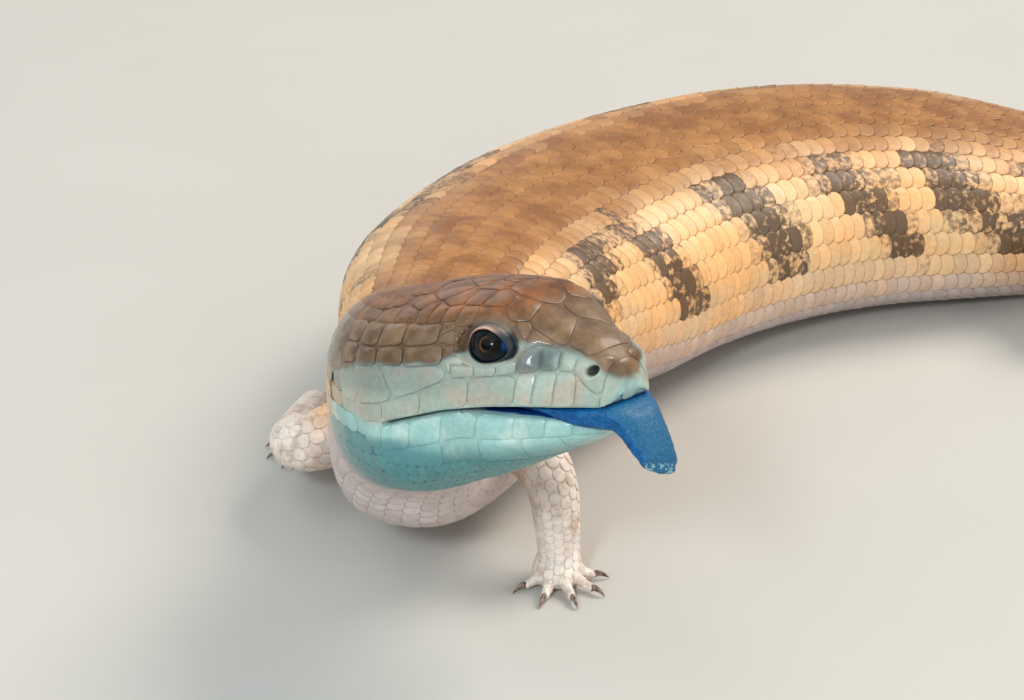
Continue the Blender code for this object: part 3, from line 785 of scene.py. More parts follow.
    def all_over(self, world: Array) -> tuple[Array, Array]:
        """Markings at any places on the animal.

        Args:
            world: Places on or near the skin, as rows.

        Returns:
            Rows of dark, brown and pale, and rows of head, limb and 0.
        """
        s, around, outside = FORM.locate(world)
        head = smooth(self.head_join + self.head_blend, self.head_join - self.head_blend, s)
        limb = smooth(1.0, 8.0, outside) * (s > self.head_join + self.head_blend)
        body = self.body(s, around, world)
        over = smooth(0.25, 0.9, mottle(world, 5.0, 7.0)) * self.over_legs
        leg = np.stack([over * smooth(5, 20, world[:, 2]), 0 * s, self.leg_pale + 0 * s], -1)
        mixed = body + (leg - body) * limb[:, None]
        mixed = mixed + (self.head(world) - mixed) * head[:, None]
        return mixed, np.stack([head, limb, 0 * s], -1)


MARKINGS = Markings()


# Mesh building.

@dataclass
class MeshStore:
    """Points, faces and marks of many small shapes, joined into one mesh at the end."""

    points: list[Array] = field(default_factory=list)
    faces: list[Array] = field(default_factory=list)
    pattern: list[Array] = field(default_factory=list)
    region: list[Array] = field(default_factory=list)
    scale: list[Array] = field(default_factory=list)
    bake: list[Array] = field(default_factory=list)
    count: int = 0

    def add(self, points: Array, faces: list[Array], pattern: Array,
            region: Array, scale: Array, bake: Array) -> None:
        """Add one shape.

        Args:
            points: World places in millimetres, (n, 3).
            faces: Arrays of corner numbers, one array for each number of corners.
            pattern: Dark, brown and pale at each point.
            region: Head, limb and mouth lining at each point.
            scale: Tone, rim and painted pit shade at each point.
            bake: Place of each point on the bake map.
        """
        self.points.append(points)
        self.faces.extend(block + self.count for block in faces)
        self.pattern.append(np.broadcast_to(pattern, points.shape))
        self.region.append(np.broadcast_to(region, points.shape))
        self.scale.append(np.broadcast_to(scale, points.shape))
        self.bake.append(bake)
        self.count += len(points)

    def build(self, name: str) -> bpy.types.Object:
        """Make the joined mesh an object, in metres.

        Args:
            name: The object's name.

        Returns:
            The object.
        """
        obj = mesh_object(name, np.concatenate(self.points), self.faces)
        for title in ("pattern", "region", "scale"):
            write_marks(obj.data, title, np.concatenate(getattr(self, title)))
        write_map(obj.data, np.concatenate(self.bake))
        return obj


def mesh_object(name: str, points: Array, faces: list[Array]) -> bpy.types.Object:
    """A smooth-shaded object from arrays.

    Args:
        name: The object's name.
        points: World places in millimetres.
        faces: Arrays of corner numbers, one array for each number of corners.

    Returns:
        The object, at the origin, in the scene.
    """
    mesh = bpy.data.meshes.new(name)
    mesh.vertices.add(len(points))
    mesh.vertices.foreach_set("co", (points * MM).astype(np.float32).ravel())
    sizes = np.concatenate([np.full(len(block), block.shape[1]) for block in faces])
    corners = np.concatenate([block.ravel() for block in faces])
    mesh.loops.add(len(corners))
    mesh.loops.foreach_set("vertex_index", corners.astype(np.int32))
    mesh.polygons.add(len(sizes))
    starts = np.concatenate([[0], np.cumsum(sizes)[:-1]])
    mesh.polygons.foreach_set("loop_start", starts.astype(np.int32))
    mesh.update(calc_edges=True)
    mesh.validate()
    mesh.shade_smooth()
    obj = bpy.data.objects.new(name, mesh)
    bpy.context.scene.collection.objects.link(obj)
    return obj


def write_marks(mesh: bpy.types.Mesh, title: str, values: Array) -> None:
    """Store one vector for each point of a mesh."""
    layer = mesh.attributes.get(title) or mesh.attributes.new(title, "FLOAT_VECTOR", "POINT")
    layer.data.foreach_set("vector", values.astype(np.float32).ravel())


def write_map(mesh: bpy.types.Mesh, values: Array) -> None:
    """Store the bake map, given at each point, on the mesh's corners.

    Args:
        mesh: The mesh.
        values: Places on the map, one for each point.
    """
    corner = np.zeros(len(mesh.loops), np.int32)
    mesh.loops.foreach_get("vertex_index", corner)
    layer = mesh.uv_layers.new(name="OFBake")
    layer.data.foreach_set("uv", values[corner].astype(np.float32).ravel())


def points_of(obj: bpy.types.Object) -> Array:
    """World places of an object's vertices, in millimetres."""
    flat = np.zeros(len(obj.data.vertices) * 3, np.float32)
    obj.data.vertices.foreach_get("co", flat)
    return flat.reshape(-1, 3).astype(float) / MM


def directions_of(obj: bpy.types.Object) -> Array:
    """Directions out of a mesh at its vertices."""
    flat = np.zeros(len(obj.data.vertices) * 3, np.float32)
    obj.data.vertex_normals.foreach_get("vector", flat)
    return flat.reshape(-1, 3)


def move_points(obj: bpy.types.Object, points: Array) -> None:
    """Set the world places of an object's vertices, in millimetres."""
    obj.data.vertices.foreach_set("co", (points * MM).astype(np.float32).ravel())
    obj.data.update()


def grid_faces(rings: int, sides: int) -> Array:
    """Quads between rings of points, counted ring by ring.

    Args:
        rings: How many rings.
        sides: Points in one ring.

    Returns:
        Corner numbers, four to a row.
    """
    ring, side = grid(np.arange(rings - 1), np.arange(sides))
    after = (side + 1) % sides
    near, far = ring * sides, (ring + 1) * sides
    return np.stack([near + side, near + after, far + after, far + side], -1).reshape(-1, 4)


def fan_faces(start: int, sides: int, apex: int, flip: bool = False) -> Array:
    """Triangles from a ring of points to one apex.

    Args:
        start: Number of the ring's first point.
        sides: Points in the ring.
        apex: Number of the apex.
        flip: Whether the ring runs the other way.

    Returns:
        Corner numbers, three to a row.
    """
    side = np.arange(sides)
    after = (side + 1) % sides
    first, second = (after, side) if flip else (side, after)
    return np.stack([start + first, start + second, np.full(sides, apex)], -1)


def tube(name: str, rings: Array, start_tip: Array | None = None,
         end_tip: Array | None = None) -> bpy.types.Object:
    """A closed tube over rings of points, each end drawn to a point.

    Args:
        name: The object's name.
        rings: Places, (rings, sides, 3).
        start_tip: Point that closes the first ring, or its middle.
        end_tip: Point that closes the last ring, or its middle.

    Returns:
        The object, with its faces outwards.
    """
    count, sides, _ = rings.shape
    first = rings[0].mean(0) if start_tip is None else start_tip
    last = rings[-1].mean(0) if end_tip is None else end_tip
    points = np.concatenate([rings.reshape(-1, 3), [first, last]])
    faces = [grid_faces(count, sides), fan_faces(0, sides, count * sides, True),
             fan_faces((count - 1) * sides, sides, count * sides + 1)]
    obj = mesh_object(name, points, faces)
    face_outwards(obj)
    return obj


def select_only(obj: bpy.types.Object) -> None:
    """Deselect everything else and make one object active.

    Args:
        obj: The object.
    """
    for other in bpy.context.view_layer.objects:
        other.select_set(False)
    obj.select_set(True)
    bpy.context.view_layer.objects.active = obj


def face_outwards(obj: bpy.types.Object) -> None:
    """Turn a closed mesh's faces outwards.

    Args:
        obj: The mesh's object.
    """
    select_only(obj)
    bpy.ops.object.mode_set(mode="EDIT")
    bpy.ops.mesh.select_all(action="SELECT")
    bpy.ops.mesh.normals_make_consistent(inside=False)
    bpy.ops.object.mode_set(mode="OBJECT")


def join(target: bpy.types.Object, others: list[bpy.types.Object]) -> None:
    """Make several objects one, under the first one's name.

    Args:
        target: The first one.
        others: The rest.
    """
    select_only(target)
    for other in others:
        other.select_set(True)
    bpy.ops.object.join()


def soften(obj: bpy.types.Object, rounds: int, group: str = "") -> None:
    """Smooth a mesh, all over or by the weights of a vertex group.

    Args:
        obj: The mesh.
        rounds: How often it is smoothed.
        group: The vertex group, or nothing for all over.
    """
    select_only(obj)
    soft = obj.modifiers.new("soft", "SMOOTH")
    soft.factor = 0.5
    soft.iterations = rounds
    soft.vertex_group = group
    bpy.ops.object.modifier_apply(modifier=soft.name)


def join_by_union(target: bpy.types.Object, others: list[bpy.types.Object]) -> None:
    """Unite closed meshes with the first one, and remove them.

    Args:
        target: The mesh that is kept.
        others: The meshes that it takes in.
    """
    for other in others:
        modifier = target.modifiers.new("union", "BOOLEAN")
        modifier.operation = "UNION"
        modifier.solver = "EXACT"
        modifier.object = other
        select_only(target)
        bpy.ops.object.modifier_apply(modifier=modifier.name)
        bpy.data.objects.remove(other)


def remesh(obj: bpy.types.Object, voxel: float, rounds: int) -> None:
    """Rebuild a closed mesh evenly and soften it, so that its parts flow together.

    Args:
        obj: The mesh.
        voxel: Size of the new faces, in millimetres.
        rounds: How often it is smoothed.
    """
    select_only(obj)
    even = obj.modifiers.new("even", "REMESH")
    even.mode = "VOXEL"
    even.voxel_size = voxel * MM
    even.use_smooth_shade = True
    bpy.ops.object.modifier_apply(modifier=even.name)
    soften(obj, rounds)


class Surface:
    """Nearest-point lookups on one mesh, in millimetres, with smooth directions out of it."""

    def __init__(self, obj: bpy.types.Object) -> None:
        """Index the object's triangles.

        Args:
            obj: The mesh's object.
        """
        mesh = obj.data
        mesh.calc_loop_triangles()
        corners = np.zeros(len(mesh.loop_triangles) * 3, np.int32)
        mesh.loop_triangles.foreach_get("vertices", corners)
        self.corners = corners.reshape(-1, 3)
        self.places = points_of(obj)
        self.facing = directions_of(obj).astype(float)
        self.tree = BVHTree.FromPolygons(self.places.tolist(), self.corners.tolist())

    def snap(self, points: Array) -> tuple[Array, Array]:
        """Nearest places on the mesh, and the directions out of it there.

        Args:
            points: Places to move, (..., 3).

        Returns:
            Places and unit normals of the same shape.
        """
        flat = np.asarray(points, float).reshape(-1, 3)
        found = np.zeros_like(flat)
        index = np.zeros(len(flat), int)
        for i, point in enumerate(flat.tolist()):
            place, _, index[i], _ = self.tree.find_nearest(point)
            found[i] = place
        return found.reshape(points.shape), self.lean(found, index).reshape(points.shape)

    def lean(self, found: Array, index: Array) -> Array:
        """Vertex directions blended at places in known triangles.

        Args:
            found: Places on the mesh.
            index: The triangle that each lies in.

        Returns:
            Unit directions out of the mesh.
        """
        first, second, third = (self.places[self.corners[index, k]] for k in range(3))
        area = np.cross(second - first, third - first)
        size = np.maximum((area ** 2).sum(-1), 1e-12)
        share = [(np.cross(b - a, found - a) * area).sum(-1) / size
                 for a, b in ((second, third), (third, first), (first, second))]
        blend = sum(np.clip(share[k], 0, 1)[:, None] * self.facing[self.corners[index, k]]
                    for k in range(3))
        return unit(blend)


def settle(obj: bpy.types.Object, material: bpy.types.Material,
           nodes: tuple[str, ...] = ()) -> None:
    """Give a finished piece its finish, its body and the solids it stands for.

    Args:
        obj: The piece.
        material: The piece's own finish.
        nodes: The solids it replaces.
    """
    obj.data.materials.clear()
    obj.data.materials.append(material)
    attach(obj, BODY)
    if nodes:
        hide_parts(*nodes)
    LOG.info("%s: %d faces", obj.name, len(obj.data.polygons))


# Eyes, lids and the skin.

@dataclass
class EyeForm:
    """One eyeball's place, and the lids round the line that it looks along."""

    side: Side
    station: float = 21.1
    out: float = 14.7
    height: float = 12.2
    radius: float = 5.3
    sink: float = 4.85
    gaze_parts: Triple = (0.2, 0.95, 0.24)
    opening: Triple = (4.3, 3.1, 2.8)
    opening_power: float = 1.75
    opening_tilt: float = 0.22
    rim: Quad = (7.0, 5.6, 6.4, 3.9)
    well: Pair = (1.0, 0.76)
    well_depth: float = 3.2
    lid_height: float = 0.5
    lid_foot: float = 0.08
    lid_blend: Pair = (0.12, 0.95)
    ridge: Quad = (0.14, 0.08, 0.05, 0.14)
    fold: Quad = (0.44, 0.07, 0.2, 0.25)
    lid_thickness: float = 0.9
    lid_sides: int = 84
    lid_rings: int = 18

    def __post_init__(self) -> None:
        """Set the ball's centre and the axes round its gaze."""
        surface = FORM.at(self.station, self.side.value * self.out, self.height)
        _, forward, left, up = FORM.axes(self.station)
        ahead, outward, rise = self.gaze_parts
        self.gaze = unit(ahead * forward + self.side.value * outward * left + rise * up)
        self.centre = surface - self.gaze * self.sink
        self.fore = square_to(self.gaze, forward)
        self.top = unit(up - (up @ self.gaze) * self.gaze - (up @ self.fore) * self.fore)

    def at(self, rho: Array, phi: Array, height: Array) -> Array:
        """World places round the gaze."""
        spoke = spokes(phi, self.fore, self.top)
        return self.centre + height[..., None] * self.gaze + rho[..., None] * spoke

    def polar(self, world: Array) -> tuple[Array, Array, Array]:
        """Distance from the gaze line, angle round it and height along it.

        Args:
            world: World places.

        Returns:
            The three, for each place.
        """
        offset = world - self.centre
        ahead, over = offset @ self.fore, offset @ self.top
        return np.hypot(ahead, over), np.arctan2(over, ahead), offset @ self.gaze

    def opening_at(self, phi: Array) -> Array:
        """Half width of the opening between the lids, with drawn-out corners.

        Args:
            phi: Angles round the gaze.

        Returns:
            Distances from the gaze line.
        """
        wide, high, low = self.opening
        phi = phi + self.opening_tilt
        tall = np.where(np.sin(phi) > 0, high, low)
        q = self.opening_power
        return (np.abs(np.cos(phi) / wide) ** q + np.abs(np.sin(phi) / tall) ** q) ** (-1 / q)

    def rim_at(self, phi: Array) -> Array:
        """Half width of the whole lid.

        Args:
            phi: Angles round the gaze.

        Returns:
            Distances from the gaze line.
        """
        fore, top, rear, bottom = self.rim
        wide = np.where(np.cos(phi) > 0, fore, rear)
        tall = np.where(np.sin(phi) > 0, top, bottom)
        return 1 / np.hypot(np.cos(phi) / wide, np.sin(phi) / tall)

    def lid_share(self, world: Array) -> Array:
        """0 at the edge of the opening, 1 at the lid's outer rim.

        Args:
            world: World places on the skin.

        Returns:
            The share of each.
        """
        rho, phi, _ = self.polar(world)
        inner = self.opening_at(phi)
        return (rho - inner) / (self.rim_at(phi) - inner)

    def flesh_height(self, bare: Surface, rho: Array, phi: Array) -> Array:
        """Height of the plain skin along the gaze.

        Args:
            bare: The plain skin.
            rho: Distances from the gaze line.
            phi: Angles round it.

        Returns:
            Heights over the ball's centre.
        """
        far = 3 * self.radius
        starts = self.at(rho, phi, np.full_like(rho, far)).reshape(-1, 3)
        found = [bare.tree.ray_cast(start, Vector(-self.gaze))[3] for start in starts.tolist()]
        return far - np.array([far if gone is None else gone for gone in found]).reshape(rho.shape)

    @staticmethod
    def ridge_at(share: Array, phi: Array, ridge: Quad) -> Array:
        """Ridge along a lid, given by its place and width, its height, and what it gains on top.

        Args:
            share: 0 at the edge of the opening, 1 at the outer rim.
            phi: Angles round the gaze.
            ridge: Place, width, height, and what it gains on top.

        Returns:
            Heights.
        """
        place, width, height, more = ridge
        upper = smooth(-0.2, 0.7, np.sin(phi))
        return (more * upper + height) * np.exp(-((share - place) / width) ** 2)

    def lid(self, bare: Surface) -> bpy.types.Object:
        """Closed band of skin from the eye's opening out to the head.

        Args:
            bare: The skin before its eye wells are sunk.

        Returns:
            The band, ready to be united with the skin.
        """
        share, phi = grid(np.linspace(0, 1, self.lid_rings) ** 1.15, angles(self.lid_sides))
        inner = self.opening_at(phi)
        rho = inner + (self.rim_at(phi) - inner) * share
        ball = np.sqrt(np.maximum(self.radius ** 2 - rho ** 2, 1.2))
        flesh = self.flesh_height(bare, rho, phi)
        blend = smooth(*self.lid_blend, share)
        crest = self.lid_height * smooth(-0.05, 0.09, share) + self.lid_foot
        crest = crest + self.ridge_at(share, phi, self.ridge)
        height = (1 - blend) * (ball + crest) + blend * (flesh + 0.12)
        height = height - self.ridge_at(share, phi, self.fold)
        outside = self.at(rho, phi, height)
        edge = self.at(rho[-1:] + 0.5, phi[-1:], flesh[-1:] - 0.6)
        under = np.minimum(height - self.lid_thickness, ball - 0.35)[::-3]
        inside = self.at(rho[::-3], phi[::-3], under)
        rings = np.concatenate([outside, edge, inside])
        count = len(rings) * self.lid_sides
        faces = grid_faces(len(rings) + 1, self.lid_sides) % count
        obj = mesh_object("lid", rings.reshape(-1, 3), [faces])
        face_outwards(obj)
        return obj


EYES = (EyeForm(Side.LEFT, sink=5.45), EyeForm(Side.RIGHT))


@dataclass
class JawForm:
    """The open lower jaw's outline, run on into the closed head behind the mouth's corner."""

    closing: float = 0.8
    shut: Pair = (23.5, 30.0)
    lip_gap: float = 0.04
    inset: Profile = ((0, 0.3), (34, 0.3), (44, 0.02), (50, 0.7))
    end: float = 50.0
    roof_power: float = 5.0
    roof_share: float = 0.25

    def roof(self, s: Array) -> Array:
        """Height of the jaw's upper edge, which meets the upper lip behind the open stretch."""
        gap = profile(FORM.mouth_gap, s) - self.closing * smooth(*self.shut, s)
        return profile(FORM.lip_arch, s) - gap

    def edge(self, s: Array) -> Array:
        """Height of the jaw's visible upper edge."""
        return np.minimum(self.roof(s), FORM.lip_line(s) - self.lip_gap)

    def levels(self, s: Array) -> tuple[Array, ...]:
        """Half width, and heights of the roof, the widest line and the keel.

        Args:
            s: Distances from the snout.

        Returns:
            The four, each at every distance.
        """
        corner = FORM.mouth_corner
        setback = FORM.jaw_setback * np.maximum(corner - s, 0) / corner
        width = FORM.column(1, s - setback) - profile(self.inset, s)
        roof = self.roof(s)
        keel = (profile(FORM.chin_trim, s) - FORM.column(3, s) - FORM.gape(s)
                + np.interp(s, (44, 50), (0.02, 0.7)))
        widest = np.minimum(roof - 2 * FORM.jaw_inset, roof + self.roof_share * (keel - roof))
        return width, roof, widest, keel

    def side_at(self, s: float, up: float) -> float:
        """Half width of the jaw at one height.

        Args:
            s: Distance behind the snout.
            up: The height.

        Returns:
            The half width.
        """
        width, _, widest, keel = (float(level) for level in self.levels(s))
        share = min(max((widest - up) / (widest - keel), 0.0), 0.98)
        return width * (1 - share ** FORM.lower_power) ** (1 / FORM.lower_power)

    def outline(self, s: Array, turn: Array, grow: Array) -> tuple[Array, Array]:
        """Left and up of places on the jaw's sections.

        Args:
            s: Distances from the snout.
            turn: Angles round the section.
            grow: How far outside the solids.

        Returns:
            Left and up, from the spine.
        """
        width, roof, widest, keel = self.levels(s)
        width = width + grow
        cosine, sine = np.cos(turn), np.sin(turn)
        shape = np.where(sine >= 0, 2 / self.roof_power, 2 / FORM.lower_power)
        reach = np.where(sine >= 0, roof - widest, widest - keel + grow)
        return power(cosine, shape) * width, widest + power(sine, shape) * reach

    def surface(self, s: Array, turn: Array, grow: Array) -> Array:
        """World places on the jaw."""
        return FORM.at(s, *self.outline(s, turn, grow))

    def tip(self, grow: float) -> Array:
        """Foremost point of the chin."""
        start = FORM.jaw_start - grow
        return FORM.at(start, 0.0, float(-FORM.gape(start)) - FORM.chin_drop)


JAW = JawForm()


@dataclass
class Skin:
    """The one skin of body, head, jaw and legs, inside the solids by the depth of the coat."""

    sides: int = 96
    jaw_sides: int = 72
    leg_sides: int = 28
    coat: Profile = ((0, HEAD_COAT), (60, HEAD_COAT), (120, 0.55), (300, 0.55), (400, 0.4), (567, 0.15))
    leg_coat: float = 0.3
    lip_clear: float = 0.05
    snout: tuple[float, ...] = (0.47, 0.6, 0.8, 1.05, 1.35, 1.7, 2.1, 2.6, 3.2, 3.8, 4.5, 5.2)
    chin: tuple[float, ...] = (0.55, 0.75, 1.05, 1.5, 2.1, 2.8, 3.6, 4.4)
    head_step: float = 0.8
    neck_step: float = 1.5
    trunk_step: float = 2.4
    muzzle_end: float = 5.9
    neck_start: float = 66.0
    trunk_start: float = 108.0
    tail_stop: float = 556.0
    shaft_rings: int = 42
    digit_rings: int = 12
    digit_tip: Quad = (1.2, 1.4, 1.53, 1.6)
    leg_voxel: float = 0.55
    leg_rounds: int = 5
    ear_station: float = 61.0
    ear_height: float = 1.0
    ear_radius: float = 2.9
    ear_depth: float = 2.2
    nostril_depth: float = 3.6
    # Reach of the painted shade in each ear opening.
    ear_pit_shade: Pair = (3.0, 1.8)
    join_rounds: int = 26
    join_reach: Pair = (8.0, 2.0)
    join_run: Pair = (0.0, 1.4)
    tail_tip: tuple[float, ...] = (558.5, 561, 563, 564.8, 565.8, 566.4)
    nose: Pair = (0.42, 0.35)
    lining_margin: float = 0.35
    lining_end: float = 44.4
    lining_inside: Pair = (0.1, 0.7)
    lining_level: Pair = (0.55, 0.85)
    lid_dark: float = 0.14
    corner_dark: float = 0.5
    # Strength of the painted shade under the brow.
    brow_shade_strength: float = 0.6
    lid_line: Pair = (0.13, 0.1)

    def coat_at(self, s: Numbers) -> Array:
        """Depth of the coat at distance s."""
        return profile(self.coat, s)

    def body(self) -> bpy.types.Object:
        """Closed loft of head, neck, trunk and tail, flat above the mouth.

        Returns:
            The object.
        """
        corner = FORM.mouth_corner
        stations = np.concatenate([
            self.snout, spread(self.muzzle_end, corner - 0.15, self.head_step),
            spread(corner, self.neck_start, self.head_step),
            spread(self.neck_start, self.trunk_start, self.neck_step)[1:],
            spread(self.trunk_start, self.tail_stop, self.trunk_step)[1:], self.tail_tip])
        s, turn = grid(stations, angles(self.sides))
        grow = -self.coat_at(s)
        left, up = FORM.outline(s, turn, grow)
        lip = FORM.lip_line(s) + self.lip_clear
        up = np.where(s < corner - 0.01, np.maximum(up, lip), up)
        rings = lifted(FORM.at(s, *FORM.relief(s, left, up)), -grow)
        nose = FORM.at(self.nose[0], 0.0, float(FORM.column(2, 0.0)) + self.nose[1])
        return tube("skin", rings, nose, rings[-1].mean(0) + 0.3 * unit(rings[-1, 0] - rings[-2, 0]))

    def jaw(self) -> bpy.types.Object:
        """Closed loft of the lower jaw.

        Returns:
            The object.
        """
        start = FORM.jaw_start + self.coat_at(0.0)
        stations = np.concatenate([start + np.array(self.chin) - HEAD_COAT,
                                   spread(start + 4.6, JAW.end, self.head_step)])
        s, turn = grid(stations, angles(self.jaw_sides))
        return tube("jaw", JAW.surface(s, turn, -self.coat_at(s)), JAW.tip(-HEAD_COAT))

    def leg(self, limb: LimbForm) -> bpy.types.Object:
        """One leg with its foot and toes, rebuilt as one even mesh.

        Args:
            limb: The leg's form.

        Returns:
            The leg, ready to be united with the body.
        """
        turn = angles(self.leg_sides)
        t, turns = grid(np.linspace(0, 2, self.shaft_rings), turn)
        shaft = tube(limb.name, limb.surface(t, turns, -self.leg_coat))
        parts = [tube("foot", limb.foot_rings(self.leg_sides, -self.leg_coat))]
        t, turns = grid(np.append(np.linspace(0, 1, self.digit_rings), self.digit_tip), turn[::2])
        for index in range(DIGIT_COUNT):
            parts.append(tube("digit", limb.digit_surface(index, t, turns, -self.leg_coat)))
        join(shaft, parts)
        remesh(shaft, self.leg_voxel, self.leg_rounds)
        move_points(shaft, lifted(points_of(shaft), self.leg_coat))
        return shaft

    def soften_joins(self, obj: bpy.types.Object) -> None:
        """Round the inner corners where the legs leave the trunk.

        Args:
            obj: The skin, all its parts united.
        """
        points = points_of(obj)
        _, _, outside = FORM.locate(points)
        near = np.full(len(points), 99.0)
        for limb in LIMBS:
            t = np.linspace(*self.join_run, 30)
            line, size = limb.path(t), limb.radius(t)
            close = np.linalg.norm(points - limb.path(0.6), axis=1) < 45
            gap = np.linalg.norm(points[close, None] - line[None], axis=2) - size[None]
            near[close] = np.minimum(near[close], np.abs(gap).min(1))
        weight = smooth(*self.join_reach, np.maximum(near, np.abs(outside))) * (points[:, 2] > 1.0)
        group = obj.vertex_groups.new(name="join")
        for index in np.nonzero(weight > 0.01)[0]:
            group.add([int(index)], float(weight[index]), "REPLACE")
        soften(obj, self.join_rounds, group.name)
        obj.vertex_groups.clear()

    def sink_wells(self, obj: bpy.types.Object) -> None:
        """Push the skin in under each eyeball and into each nostril and ear.

        Args:
            obj: The skin, before its lids are joined on.
        """
        points = points_of(obj)
        for eye in EYES:
            rho, phi, height = eye.polar(points)
            depth = eye.well_depth * smooth(*eye.well, rho / eye.rim_at(phi)) * (height > 0)
            points = points - depth[:, None] * eye.gaze
        _, left, _ = FORM.head_places(points)
        depth = self.nostril_depth * smooth(NOSTRIL_SIZE * 1.5, NOSTRIL_SIZE, nostril_away(points))
        points = points - (depth * np.sign(left))[:, None] * FORM.axes(0.0)[2]
        for side in Side:
            away = self.ear_away(side, points)
            depth = self.ear_depth * smooth(self.ear_radius, self.ear_radius * 0.6, away)
            points = points - depth[:, None] * side.value * FORM.axes(self.ear_station)[2]
        move_points(obj, points)

    def ear_away(self, side: Side, world: Array) -> Array:
        """Distance of places from the middle of one ear opening on the skin.

        Args:
            side: The side of the head.
            world: World places.

        Returns:
            The distances.
        """
        out = float(FORM.column(1, self.ear_station)) - HEAD_COAT
        centre = FORM.at(self.ear_station, side.value * out, self.ear_height)
        return np.linalg.norm(world - centre, axis=1)

    def mark(self, obj: bpy.types.Object) -> None:
        """Store the markings, the mouth's lining, the lids, painted shade under the brows and painted shade
        in the nostrils and ears on the skin.

        Args:
            obj: The whole skin.
        """
        points = points_of(obj)
        pattern, region = MARKINGS.all_over(points)
        back, left, up = FORM.head_places(points)
        width = FORM.column(1, np.clip(back, 0, 60)) - HEAD_COAT
        within = (up < FORM.lip_line(back) + self.lining_margin) & (back < self.lining_end)
        within &= up > JAW.roof(back) - self.lining_margin
        level = np.abs(directions_of(obj) @ FORM.axes(0.0)[3])
        inside = smooth(*self.lining_inside, width - np.abs(left))
        region[:, 2] = inside * smooth(*self.lining_level, level) * within
        detail = np.zeros_like(points)
        scale = np.zeros_like(points)
        scale[:, 0] = 0.5
        for eye in EYES:
            _, phi, height = eye.polar(points)
            share = np.where(height > 0, eye.lid_share(points), FAR)
            ahead = np.maximum(0, np.cos(phi - 0.1))
            over = np.maximum(0, np.sin(phi))
            corner = ahead ** 3 * (1 - 0.75 * smooth(0.45, 0.8, over))
            reach = self.lid_dark + self.corner_dark * corner
            detail[:, 0] += smooth(reach + 0.2, reach - 0.1, share)
            # Painted shade over the upper side of each eye, under the brow.
            detail[:, 2] += self.brow_shade_strength * smooth(1.1, 0.4, share) * over
            crescent = smooth(0.1, 0.5, np.sin(phi)) * smooth(0.9, 0.3, np.cos(phi))
            place, width = self.lid_line
            detail[:, 1] += crescent * np.exp(-((share - place) / width) ** 2)
        # Painted shade in the nostrils and the ear openings, where they sink into the skin.
        scale[:, 2] = smooth(NOSTRIL_SIZE * 1.7, NOSTRIL_SIZE * 1.3, nostril_away(points))
        for side in Side:
            scale[:, 2] += smooth(*self.ear_pit_shade, self.ear_away(side, points))
        for title, values in (("pattern", pattern), ("region", region), ("scale", scale),
                              ("detail", detail)):
            write_marks(obj.data, title, values)

    def build(self) -> bpy.types.Object:
        """Grow the whole skin, keeping its plain surface for the coat to sit on.

        Returns:
            The object.
        """
        hide = self.body()
        join_by_union(hide, [self.jaw()] + [self.leg(limb) for limb in LIMBS])
        self.soften_joins(hide)
        self.bare = Surface(hide)
        self.sink_wells(hide)
        join_by_union(hide, [eye.lid(self.bare) for eye in EYES])
        hide.data.shade_smooth()
        self.mark(hide)
        return hide


def flesh_nodes() -> tuple[str, ...]:
    """Names of the solids that the skin stands for.

    Returns:
        The names.
    """
    names = ["head", "lower_jaw", "neck", "trunk_front", "trunk_middle", "trunk_rear",
             "tail_base", "tail_middle", "tail_end"]
    for limb in LIMBS:
        names += [f"{limb.name}_{part}" for part in ("upper", "lower", "foot")]
    return tuple(names)


# The coat: fitted head shields, granules round the eyes, and rows of overlapping scales.

@dataclass(frozen=True)
class Strip:
    """A row of shields on the side of the head or jaw, parted by sutures.

    Heights are over the upper lip on the head, and below the jaw's own edge on the jaw.
    """

    cuts: tuple[float, ...]
    low: Profile
    high: Profile
    lean: float = 0.0
    on_jaw: bool = False
    dome: float = 0.1
    rise: float = 0.24
    suture: float = 0.06
    ink: float = 0.45

    def measure(self, world: Array) -> tuple[Array, ...]:
        """Distance along the row, and distances inside its lower and upper lines.

        Args:
            world: World places, as rows.

        Returns:
            Three numbers for each place.
        """
        back, _, up = FORM.head_places(world)
        height = JAW.edge(back) - up if self.on_jaw else up - FORM.lip_line(back)
        low, high = profile(self.low, back), profile(self.high, back)
        return back - self.lean * (height - low), height - low, high - height

    def inside(self, world: Array, first: float, last: float) -> Array:
        """How far inside one stretch of the row a place is, less than 0 outside it."""
        along, under, over = self.measure(world)
        return np.minimum.reduce([along - first, last - along, under, over])

    def middle(self, first: float, last: float, side: Side) -> Array:
        """Rough world place of the middle of one stretch.

        Args:
            first: Where the stretch starts.
            last: Where it ends.
            side: Which side of the head.

        Returns:
            The place.
        """
        centre = (first + last) / 2
        half = float(profile(self.high, centre) - profile(self.low, centre)) / 2
        back = centre + self.lean * half
        height = float(profile(self.low, back)) + half
        if self.on_jaw:
            up = float(JAW.edge(back)) - height
            return FORM.at(back, side.value * JAW.side_at(back, up), up)
        up = float(FORM.lip_line(back)) + height
        return FORM.at(back, side.value * FORM.side_at(back, up), up)


